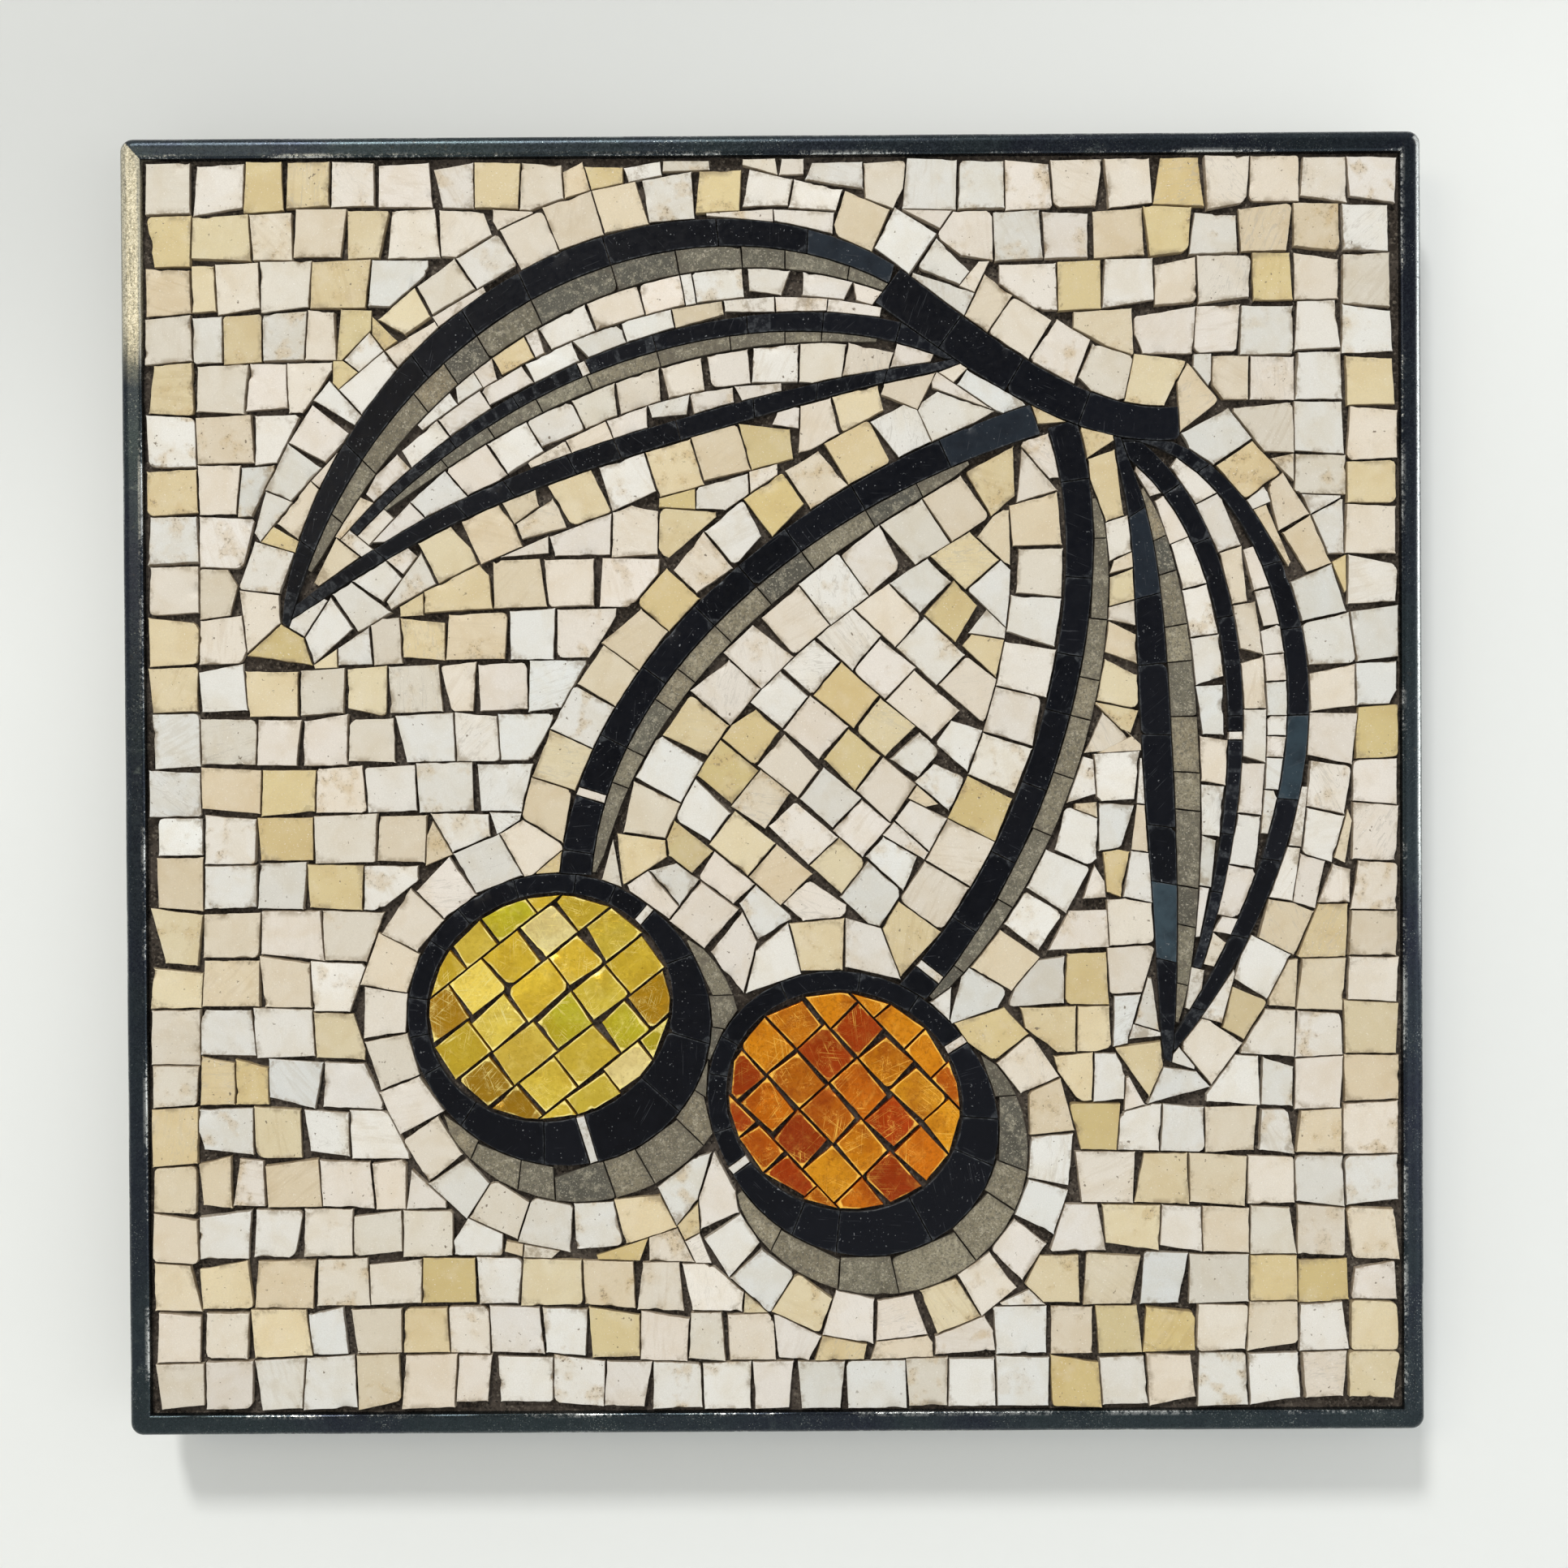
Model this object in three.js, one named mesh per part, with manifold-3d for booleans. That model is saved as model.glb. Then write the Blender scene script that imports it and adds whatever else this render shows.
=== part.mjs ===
// Mosaic panel to hang on a wall. A square steel frame holds a bed of dark mortar set with
// hand-nipped marble, black glass and grey stone tesserae. The picture is a fruiting twig:
// two leaves and two round fruits on long stems. The fruits are laid in gold-leaf and
// amber-leaf tesserae. A hanging board behind holds the panel off the wall.
//
// Millimetres. The panel hangs upright: +X to the right, +Z up, and the front faces -Y.
// The origin is the centre of the hanging board's back, where it meets the wall.

import * as THREE from 'three';
import { mergeVertices } from 'three/addons/utils/BufferGeometryUtils.js';
import Module from 'manifold-3d';

// ---------------------------------------------------------------- driving sizes, mm
const SIDE = 300;              // outside of the frame, across and up
const RAIL = 5;                // width of the frame's rail, seen from the front
const FRAME_DEPTH = 10;        // front of the rail to its back
const CORNER = 3.0;            // outside corner radius of the frame
const RAIL_ROUND = 2.1;        // rounding of the rail's outer front edge
const RAIL_EASE = 0.6;         // rounding of its inner front edge
const BOARD = 220;             // hanging board, across and up
const BOARD_THICK = 14;        // holds the panel this far off the wall
const BED_THICK = 7.5;         // mortar bed
const STONE_PROUD = 1.8;       // tesserae above the mortar
const GLASS_PROUD = 1.95;      // black strips above the mortar
const GREY_PROUD = 1.7;        // grey strips above the mortar
const LEAF_PROUD = 1.9;        // gold-leaf and amber-leaf tesserae above the mortar
const FIELD = SIDE - 2 * RAIL; // mosaic field inside the frame
const EDGE = 1.1;              // open joint along the frame
const PITCH = 11.65;           // height of a ground course
const CELL = 11.5;             // length of a ground tessera
const STEP = 4.5;              // stations along a curved strip
const COURSE = 10.6;           // depth of the course that follows the picture
const RUN_MAX = 5;             // most neighbours of a course that are one block on the bed
const SMALLEST = 24;           // chips smaller than this, mm2, are left to the finish
const FRONT = -(BOARD_THICK + FRAME_DEPTH);
const BACK = -BOARD_THICK;
const BED_FRONT = BACK - BED_THICK;

// ---------------------------------------------------------------- the picture's sizes, mm
// u runs to the right and v up, from the panel's centre
const TWIG = [[27, 115], [42, 104], [70, 80], [94, 83]];
const FRUITS = [
  { name: 'gold', c: [-52, -51], a: 28.5, b: 26.0, tilt: 20, grid: 38, ring: 4.6, heavy: 7.5, sun: 128, bars: [3, 31] },
  { name: 'amber', c: [16, -73], a: 27.5, b: 25.0, tilt: -24, grid: -47, ring: 4.6, heavy: 7.0, sun: 122, bars: [6, 27] },
];
const LEAVES = [
  { spine: [[46, 98], [8, 121], [-70, 110], [-113, 38]], wide: 26, back: 24 },
  { spine: [[79, 80], [112, 58], [108, -10], [90, -64]], wide: 20, back: 19 },
];
const STEMS = [
  { name: 'A', line: [[61, 84], [6, 67], [-44, 26], [-46, -24]], half: 3.6, side: 1, shade: 4.2, from: 0.12, to: 0.97, bars: [31] },
  { name: 'B', line: [[67, 83], [78, 50], [66, -12], [30, -50]], half: 3.4, side: 1, shade: 3.8, from: 0.13, to: 0.97, bars: [30] },
];
const TAU = Math.PI * 2;

// ---------------------------------------------------------------- random numbers, the same every time
let seed = 20417;
const rnd = () => { seed = (seed * 1664525 + 1013904223) % 4294967296; return seed / 4294967296; };
const jit = (a) => (rnd() * 2 - 1) * a;

// ---------------------------------------------------------------- plane geometry
const add = (a, b, k = 1) => [a[0] + b[0] * k, a[1] + b[1] * k];
const sub = (a, b) => [a[0] - b[0], a[1] - b[1]];
const mix = (a, b, t) => [a[0] + (b[0] - a[0]) * t, a[1] + (b[1] - a[1]) * t];
const len = (a) => Math.sqrt(a[0] * a[0] + a[1] * a[1]);
const unit = (a) => { const l = len(a) || 1; return [a[0] / l, a[1] / l]; };
const turn = (a, deg) => { const r = deg * Math.PI / 180, c = Math.cos(r), s = Math.sin(r); return [a[0] * c - a[1] * s, a[0] * s + a[1] * c]; };
const swell = (x, p) => (x <= 0 ? 0 : Math.pow(x, p));
function signedArea(p) {
  let s = 0;
  for (let i = 0; i < p.length; i++) { const a = p[i], b = p[(i + 1) % p.length]; s += a[0] * b[1] - b[0] * a[1]; }
  return s / 2;
}
const area = (p) => Math.abs(signedArea(p));
function middle(p) { let x = 0, y = 0; for (const q of p) { x += q[0]; y += q[1]; } return [x / p.length, y / p.length]; }
function reach(p, c) { let r = 0; for (const q of p) r = Math.max(r, len(sub(q, c))); return r; }
function span(p) { let m = 0; for (const a of p) for (const b of p) m = Math.max(m, len(sub(a, b))); return m; }

function clip(poly, n, d) {              // keeps the part where n.x >= d
  const out = [];
  for (let i = 0; i < poly.length; i++) {
    const a = poly[i], b = poly[(i + 1) % poly.length];
    const da = n[0] * a[0] + n[1] * a[1] - d, db = n[0] * b[0] + n[1] * b[1] - d;
    if (da >= 0) out.push(a);
    if ((da >= 0) !== (db >= 0)) out.push(mix(a, b, da / (da - db)));
  }
  return out.length < 3 ? [] : out;
}
function sides(p) {                      // outward normal and offset of each side, counter-clockwise
  const e = [];
  for (let i = 0; i < p.length; i++) {
    const a = p[i], b = p[(i + 1) % p.length], l = len(sub(b, a));
    if (l < 1e-6) continue;
    const n = [(b[1] - a[1]) / l, -(b[0] - a[0]) / l];
    e.push([n, n[0] * a[0] + n[1] * a[1]]);
  }
  return e;
}
function cellOf(p) {                     // a convex cell
  const poly = signedArea(p) < 0 ? p.slice().reverse() : p;
  const c = middle(poly);
  return { poly, edges: sides(poly), c, r: reach(poly, c) };
}
function touching(a, b, gap) {           // two convex cells nearer than gap
  if (len(sub(a.c, b.c)) > a.r + b.r + gap) return false;
  for (const [p, q] of [[a, b], [b, a]]) {
    for (const [n, d] of p.edges) {
      let m = 1e9;
      for (const x of q.poly) m = Math.min(m, n[0] * x[0] + n[1] * x[1] - d);
      if (m >= gap - 1e-4) return false;
    }
  }
  return true;
}
function cellDistance(c, x) {            // to a convex cell, negative inside it
  let inside = -1e9;
  for (const [n, d] of c.edges) inside = Math.max(inside, n[0] * x[0] + n[1] * x[1] - d);
  if (inside <= 0) return inside;
  let best = 1e9;
  const p = c.poly;
  for (let i = 0; i < p.length; i++) {
    const a = p[i], ab = sub(p[(i + 1) % p.length], a), ax = sub(x, a);
    const t = Math.max(0, Math.min(1, (ab[0] * ax[0] + ab[1] * ax[1]) / (ab[0] * ab[0] + ab[1] * ab[1] + 1e-12)));
    best = Math.min(best, len([ax[0] - ab[0] * t, ax[1] - ab[1] * t]));
  }
  return best;
}
function within(poly, x) {               // a point inside any polygon
  let c = false;
  for (let i = 0, j = poly.length - 1; i < poly.length; j = i++) {
    const a = poly[i], b = poly[j];
    if ((a[1] > x[1]) !== (b[1] > x[1]) && x[0] < (b[0] - a[0]) * (x[1] - a[1]) / (b[1] - a[1]) + a[0]) c = !c;
  }
  return c;
}

// a chequer of boxes that finds the cells near a point quickly
class Chequer {
  constructor(size) { this.size = size; this.boxes = new Map(); this.count = 0; }
  key(i, j) { return (i + 500) * 2000 + (j + 500); }
  put(cell) {
    cell.id = this.count++;
    const s = this.size;
    for (let i = Math.floor((cell.c[0] - cell.r) / s); i <= Math.floor((cell.c[0] + cell.r) / s); i++) {
      for (let j = Math.floor((cell.c[1] - cell.r) / s); j <= Math.floor((cell.c[1] + cell.r) / s); j++) {
        const k = this.key(i, j);
        if (!this.boxes.has(k)) this.boxes.set(k, []);
        this.boxes.get(k).push(cell);
      }
    }
  }
  near(p, r) {                           // the cells within r of p, oldest first
    const s = this.size, found = new Map();
    for (let i = Math.floor((p[0] - r) / s); i <= Math.floor((p[0] + r) / s); i++) {
      for (let j = Math.floor((p[1] - r) / s); j <= Math.floor((p[1] + r) / s); j++) {
        for (const c of this.boxes.get(this.key(i, j)) || []) if (!found.has(c.id) && len(sub(c.c, p)) < c.r + r) found.set(c.id, c);
      }
    }
    return [...found.values()].sort((a, b) => a.id - b.id);
  }
}

// ---------------------------------------------------------------- setting the tesserae
// Each new tessera is nipped by straight cuts to fit those already set.
const HALF = FIELD / 2 - EDGE;
const tesserae = [];                     // { outline, body (the outline with fewer corners), cells, mat, own, row }
const laid = new Chequer(12);
function cut(t, n, d) {
  const cells = [];
  for (const c of t.cells) { const p = clip(c.poly, n, d); if (p.length && area(p) > 0.02) cells.push(cellOf(p)); }
  return { outline: clip(t.outline, n, d), body: clip(t.body, n, d), cells };
}
const clashes = (t, cells, gap) => cells.filter((c) => t.cells.some((k) => touching(k, c, gap)));
function nip(t, cells, gap) {
  const bad = clashes(t, cells, gap);
  if (!bad.length) return t;
  let one = null, oneArea = 0;           // one straight cut that clears them all
  for (const c of bad) {
    for (const [n, d] of c.edges) {
      const k = cut(t, n, d + gap), a = area(k.outline);
      if (k.outline.length && a > oneArea && !clashes(k, bad, gap - 0.02).length) { one = k; oneArea = a; }
    }
  }
  let many = t;                          // or a cut for each in turn
  for (const c of bad) {
    if (!many.cells.some((k) => touching(k, c, gap))) continue;
    let best = null, bestArea = 0;
    for (const [n, d] of c.edges) {
      const k = cut(many, n, d + gap), a = area(k.outline);
      if (k.outline.length && a > bestArea) { best = k; bestArea = a; }
    }
    if (!best) { many = null; break; }
    many = best;
  }
  const manyArea = many ? area(many.outline) : 0;
  return oneArea >= manyArea * 0.97 ? one : many;
}
function tidy(p) {                       // drops corners that are too close together
  const out = [];
  for (const q of p) if (!out.length || len(sub(q, out[out.length - 1])) > 0.35) out.push(q);
  while (out.length > 3 && len(sub(out[0], out[out.length - 1])) < 0.35) out.pop();
  return out;
}
function lay(t, mat, o) {
  const { gap, own = null, minArea = 15, minThick = 2.2, stone = 0.3, row = null } = o;
  for (const n of [[1, 0], [-1, 0], [0, 1], [0, -1]]) {
    t = cut(t, n, -HALF);
    if (!t.outline.length || !t.cells.length) return null;
  }
  const c0 = middle(t.outline), near = laid.near(c0, reach(t.outline, c0) + 2), groups = new Map();
  for (const c of near) { if (c.own === own && own) continue; if (!groups.has(c.own)) groups.set(c.own, []); groups.get(c.own).push(c); }
  for (const [g, cells] of groups) {
    t = nip(t, cells, g[0] === 's' ? stone : gap);
    if (!t || !t.outline.length || !t.cells.length) return null;
  }
  const outline = tidy(t.outline), a = area(outline);
  if (a < minArea || outline.length < 3 || a / span(outline) < minThick * 0.5) return null;
  if (signedArea(outline) < 0) outline.reverse();
  const piece = { outline, body: t.body, cells: t.cells, mat, own: own || 't' + tesserae.length, strip: !!own, row };
  tesserae.push(piece);
  for (const c of piece.cells) { c.own = piece.own; laid.put(c); }
  return piece;
}
const flat = (poly) => ({ outline: poly, body: poly, cells: [cellOf(poly)] });

// ---------------------------------------------------------------- lines
function bezier(p) {
  const out = [];
  for (let i = 0; i <= 160; i++) {
    const t = i / 160, s = 1 - t, w = [s * s * s, 3 * s * s * t, 3 * s * t * t, t * t * t];
    out.push([w[0] * p[0][0] + w[1] * p[1][0] + w[2] * p[2][0] + w[3] * p[3][0], w[0] * p[0][1] + w[1] * p[1][1] + w[2] * p[2][1] + w[3] * p[3][1]]);
  }
  return out;
}
function resample(line, step, closed = false) {
  const pts = closed ? [...line, line[0]] : line, cum = [0];
  for (let i = 1; i < pts.length; i++) cum.push(cum[i - 1] + len(sub(pts[i], pts[i - 1])));
  const total = cum[cum.length - 1], n = Math.max(2, Math.floor(total / step + 0.5)), out = [];
  let j = 0;
  for (let i = 0; i <= n; i++) {
    const s = total * i / n;
    while (j < cum.length - 2 && cum[j + 1] < s) j++;
    out.push(mix(pts[j], pts[j + 1], (s - cum[j]) / (cum[j + 1] - cum[j] || 1)));
  }
  if (closed) out.pop();
  return out;
}
function normalAt(pts, i, closed = false) {
  const n = pts.length, a = closed ? pts[(i - 1 + n) % n] : pts[Math.max(0, i - 1)], b = closed ? pts[(i + 1) % n] : pts[Math.min(n - 1, i + 1)];
  const d = unit(sub(b, a));
  return [-d[1], d[0]];
}

// a strip between two edges, cut into tesserae about `size` long. At a bar, a thin white
// tessera stands across the strip
function strip(left, right, mat, own, size, o = {}) {
  const { closed = false, joint = 0.16, stone = 0.2, minArea = 6, bars = [] } = o;
  const n = closed ? left.length : left.length - 1, per = Math.max(1, Math.floor(size / STEP + 0.5));
  const at = (r, k) => r[k % r.length];
  const open = (k) => (bars.includes(k % n) ? 1.15 : joint / 2);
  for (const k of bars) {
    const L = at(left, k), R = at(right, k), m = mix(L, R, 0.5), d = unit(sub(L, R)), h = len(sub(L, R)) / 2, w = [-d[1], d[0]];
    const poly = [add(add(m, d, -h), w, -0.95), add(add(m, d, -h + 0.1), w, 0.9), add(add(m, d, h - 0.1), w, 1.0), add(add(m, d, h), w, -0.85)];
    lay(flat(cellOf(poly).poly), 'white', { own, gap: 0.15, stone: 0.15, minArea: 4, minThick: 0.8 });
  }
  let i = 0;
  while (i < n) {
    const more = rnd() < 0.3 ? 1 : 0, less = rnd() < 0.3 && per > 2 ? 1 : 0;
    let k = Math.min(n - i, per + more - less);
    for (const b of bars) if (b > i && b < i + k) k = b - i;
    if (n - i - k === 1 && !bars.includes(n - 1)) k++;
    const L = [], R = [];
    for (let m = 0; m <= k; m++) { L.push(at(left, i + m)); R.push(at(right, i + m)); }
    const ends = (q, a, b, w) => mix(q[a], q[b], Math.min(0.45, w / (len(sub(q[b], q[a])) || 1)));
    const w0 = open(i), w1 = open(i + k);
    const l0 = ends(L, 0, 1, w0), r0 = ends(R, 0, 1, w0), l1 = ends(L, k, k - 1, w1), r1 = ends(R, k, k - 1, w1);
    L[0] = l0; R[0] = r0; L[k] = l1; R[k] = r1;
    const cells = [];
    for (let m = 0; m < k; m++) { const q = [R[m], R[m + 1], L[m + 1], L[m]]; if (area(q) > 0.05) cells.push(cellOf(q)); }
    const h = Math.floor(k / 2), few = (q) => (k > 1 ? [q[0], q[h], q[k]] : q);
    if (cells.length) lay({ outline: [...R, ...L.slice().reverse()], body: [...few(R), ...few(L).reverse()], cells }, mat, { own, gap: joint, stone, minArea, minThick: 1.0 });
    i += k;
  }
}
function stroke(line, half, mat, own, size, o) {
  const pts = resample(line, STEP), n = pts.length - 1, L = [], R = [];
  for (let i = 0; i <= n; i++) { const h = half(i / n), m = normalAt(pts, i); L.push(add(pts[i], m, h)); R.push(add(pts[i], m, -h)); }
  strip(L, R, mat, own, size, o);
}

// ---------------------------------------------------------------- the figure
const onFruit = (f, th, off) => {
  const n = unit([Math.cos(th) / f.a, Math.sin(th) / f.b]);
  return add(f.c, turn(add([f.a * Math.cos(th), f.b * Math.sin(th)], n, off), f.tilt));
};
const ringWeight = (f, th) => {          // the black ring is heaviest away from the light
  const w = Math.cos(th - (f.sun + 180 - f.tilt) * Math.PI / 180);
  return f.ring + f.heavy * swell((w + 0.25) / 1.25, 1.6);
};
function layFruit(f) {
  const N = Math.floor(Math.PI * (f.a + f.b + 6) / STEP + 0.5), round = (off) => {
    const r = [];
    for (let i = 0; i < N; i++) { const th = TAU * i / N; r.push(onFruit(f, th, off === null ? ringWeight(f, th) : off)); }
    return r;
  };
  const rim = cellOf(round(-0.1)), ux = turn([1, 0], f.grid), uy = turn([0, 1], f.grid);
  const R = (f.a + f.b) / 2 + 0.8, rows = Math.floor(2 * R / 9.7 + 0.5), h = 2 * R / rows;
  for (let r = 0; r < rows; r++) {
    const y0 = -R + r * h, y1 = y0 + h, ym = y0 * y1 < 0 ? 0 : Math.min(Math.abs(y0), Math.abs(y1));
    const half = Math.sqrt(Math.max(4, R * R - ym * ym)), n = Math.max(1, Math.floor(2 * half / 10.3 + 0.5)), w = 2 * half / n;
    let x = -half - 2 + jit(1.0);
    for (let k = 0; k < n; k++) {
      const xe = k === n - 1 ? half + 4 : -half + w * (k + 1) + jit(1.1), skew = jit(0.4);
      const q = [[x + 0.18, y0 + 0.2 + jit(0.1)], [xe - 0.18, y0 + 0.2 + jit(0.1)], [xe - 0.18 + skew, y1 - 0.2 + jit(0.1)], [x + 0.18 + skew, y1 - 0.2 + jit(0.1)]];
      x = xe;
      let poly = q.map((p) => add(add(f.c, ux, p[0]), uy, p[1]));
      for (const [m, d] of rim.edges) { poly = clip(poly, [-m[0], -m[1]], -(d - 0.25)); if (!poly.length) break; }
      if (poly.length) lay(flat(poly), f.name, { gap: 0.32, minArea: 6, minThick: 1.5 });
    }
  }
  strip(round(null), round(0.25), 'black', 's-ring-' + f.name, 15, { closed: true, bars: f.bars });
  // the cast shadow, a grey crescent outside the ring
  const a0 = f.sun + 180 - f.tilt - 82, a1 = f.sun + 180 - f.tilt + 78, M = Math.floor((f.a + 16) * (a1 - a0) * Math.PI / 180 / STEP + 0.5);
  f.inner = []; f.outer = [];
  for (let i = 0; i <= M; i++) {
    const th = (a0 + (a1 - a0) * i / M) * Math.PI / 180, w = ringWeight(f, th) + 0.22;
    f.inner.push(onFruit(f, th, w)); f.outer.push(onFruit(f, th, w + 0.9 + 8.4 * swell(Math.sin(Math.PI * i / M), 0.7)));
  }
}
function shadeStem(s) {
  const pts = resample(bezier(s.line), STEP), n = pts.length - 1, A = [], B = [];
  for (let i = Math.floor(n * s.from + 0.5); i <= Math.floor(n * s.to + 0.5); i++) {
    const m = normalAt(pts, i), g = swell(Math.sin(Math.PI * Math.min(1, Math.max(0, (i / n - s.from) / (s.to - s.from)))), 0.45);
    A.push(add(pts[i], m, s.side * (s.half - 0.2))); B.push(add(pts[i], m, s.side * (s.half + 0.9 + s.shade * g)));
  }
  strip(B, A, 'grey', 's-shade-' + s.name, 13);
}
function shapeLeaf(lf) {
  const spine = resample(bezier(lf.spine), STEP), n = spine.length - 1;
  const form = (t) => swell(Math.sin(Math.PI * swell(t, 0.82)), 0.85);
  lf.n = n; lf.up = []; lf.lo = [];
  for (let i = 0; i <= n; i++) { lf.up.push(-lf.back * form(i / n)); lf.lo.push(lf.wide * form(i / n)); }
  const at = (i, off) => add(spine[i], normalAt(spine, i), off);
  lf.at = (s, off) => { const x = Math.max(0, Math.min(n - 1e-6, s * n)), i = Math.floor(x); return mix(at(i, off), at(i + 1, off), x - i); };
  lf.rail = (f, from = 0, to = n) => { const r = []; for (let i = from; i <= to; i++) r.push(at(i, f(i / n, i))); return r; };
  lf.shape = [...lf.rail((t, i) => lf.up[i]), ...lf.rail((t, i) => lf.lo[i]).reverse()];
}
function layLeaf(lf, li) {
  const n = lf.n, own = 's-leaf' + li, near = (q) => Math.floor(n * q + 0.5);
  const fat = (t) => 1.6 + 5.2 * swell(Math.sin(Math.PI * t), 0.6), thin = (t) => 1.6 + 3.2 * swell(Math.sin(Math.PI * t), 0.6);
  strip(lf.rail((t, i) => lf.up[i] + fat(t)), lf.rail((t, i) => lf.up[i]), 'black', own + 'back', 19);
  strip(lf.rail((t, i) => lf.lo[i]), lf.rail((t, i) => lf.lo[i] - thin(t)), 'black', own + 'front', 19);
  // grey inside the heavy edge
  const shade = (t) => 0.7 + 5.4 * swell(Math.sin(Math.PI * (t - 0.10) / 0.83), 0.6);
  strip(lf.rail((t, i) => lf.up[i] + fat(t) + 0.2 + shade(t), near(0.10), near(0.93)), lf.rail((t, i) => lf.up[i] + fat(t) + 0.2, near(0.10), near(0.93)), 'grey', own + 'shade', 13);
  // the midrib, with its own thin shade on the larger leaf
  const rib = (t) => 2.5 * (1 - 0.7 * t), bow = (t) => 3.0 * Math.sin(Math.PI * t);
  strip(lf.rail((t) => bow(t) + rib(t), near(0.0), near(0.86)), lf.rail((t) => bow(t) - rib(t), near(0.0), near(0.86)), 'black', own + 'rib', 18, { bars: [near(0.5)] });
  if (li === 0) {
    const g = (t) => 0.7 + 2.9 * swell(Math.sin(Math.PI * (t - 0.12) / 0.68), 0.6);
    strip(lf.rail((t) => bow(t) + rib(t) + 0.2 + g(t), near(0.12), near(0.80)), lf.rail((t) => bow(t) + rib(t) + 0.2, near(0.12), near(0.80)), 'grey', own + 'ribshade', 13);
  }
}
function layFigure() {
  stroke(bezier(TWIG), (t) => 4.8 - 1.1 * t, 'black', 's-twig', 16);
  for (const f of FRUITS) layFruit(f);
  for (const s of STEMS) stroke(bezier(s.line), (t) => s.half - 0.5 * Math.sin(Math.PI * t), 'black', 's-stem-' + s.name, 18, { bars: s.bars });
  for (const s of STEMS) shadeStem(s);
  for (const f of FRUITS) strip(f.outer, f.inner, 'grey', 's-shade-' + f.name, 12);
  LEAVES.forEach(shapeLeaf);
  LEAVES.forEach(layLeaf);
}

// ---------------------------------------------------------------- the ground
const figure = new Chequer(24);          // what the ground keeps away from
const figureDistance = (x) => {
  let m = 40;
  for (const r of [12, 40]) {
    for (const c of figure.near(x, r)) if (len(sub(c.c, x)) - c.r <= m) m = Math.min(m, cellDistance(c, x));
    if (m < r) return m;
  }
  return m;
};
function markFigure() {
  const put = (p) => { if (area(p) > 0.1) figure.put(cellOf(p)); };
  for (const t of tesserae) for (const c of t.cells) put(c.poly);
  for (const lf of LEAVES) {
    for (let i = 0; i < lf.n; i++) put([lf.at(i / lf.n, lf.up[i]), lf.at(i / lf.n, lf.lo[i]), lf.at((i + 1) / lf.n, lf.lo[i + 1]), lf.at((i + 1) / lf.n, lf.up[i + 1])]);
  }
  for (const f of FRUITS) { const p = []; for (let i = 0; i < 20; i++) p.push(onFruit(f, TAU * i / 20, 0)); put(p); }
}
const tone = (w) => { const r = rnd(); return r < w[0] ? 'white' : r < w[0] + w[1] ? 'cream' : 'yellow'; };
const GROUND = [0.43, 0.37], ROUND = [0.46, 0.38], INSIDE = [0.42, 0.42], LEAF = [0.78, 0.19];

function trace(from, sign) {             // a line round the figure, half a course away from it
  const level = COURSE / 2 + 0.35, e = 0.4;
  const slope = (x) => unit([figureDistance([x[0] + e, x[1]]) - figureDistance([x[0] - e, x[1]]), figureDistance([x[0], x[1] + e]) - figureDistance([x[0], x[1] - e])]);
  let x = from, g = slope(x);
  for (let k = 0; k < 4; k++) { x = add(x, g, (level - figureDistance(x)) * 0.9); g = slope(x); }
  const out = [x];
  let dir = [-g[1] * sign, g[0] * sign];
  for (let i = 0; i < 4000; i++) {
    let d = [-g[1] * sign, g[0] * sign];
    if (d[0] * dir[0] + d[1] * dir[1] < -0.2) d = dir;
    dir = d;
    x = add(x, d, 0.8);
    g = slope(x);
    x = add(x, g, (level - figureDistance(x)) * 0.9);
    x = add(x, g, (level - figureDistance(x)) * 0.6);
    out.push(x);
    if (i > 20 && len(sub(x, out[0])) < 0.9) break;
  }
  return out;
}
function layCourse(line, size, mixOf, row) {
  const pts = resample(line, size, true), n = pts.length;
  for (let i = 0; i < n; i++) {
    const j = (i + 1) % n, na = normalAt(pts, i, true), nb = normalAt(pts, j, true), g = 0.1 + 0.45 * rnd() * rnd(), h = 0.1 + 0.45 * rnd() * rnd();
    const d = unit(sub(pts[j], pts[i])), a = add(pts[i], d, g), b = add(pts[j], d, -h), q = COURSE / 2 + jit(0.5), s = COURSE / 2 + 1.4;
    const poly = [add(a, na, -s), add(b, nb, -s), add(b, nb, q), add(a, na, q + jit(0.4))];
    const gap = 0.2 + 0.35 * rnd(), m = tone(mixOf);
    if (area(poly) > 10) lay(flat(cellOf(poly).poly), m, { gap, minArea: 16, row });
  }
}
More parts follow.
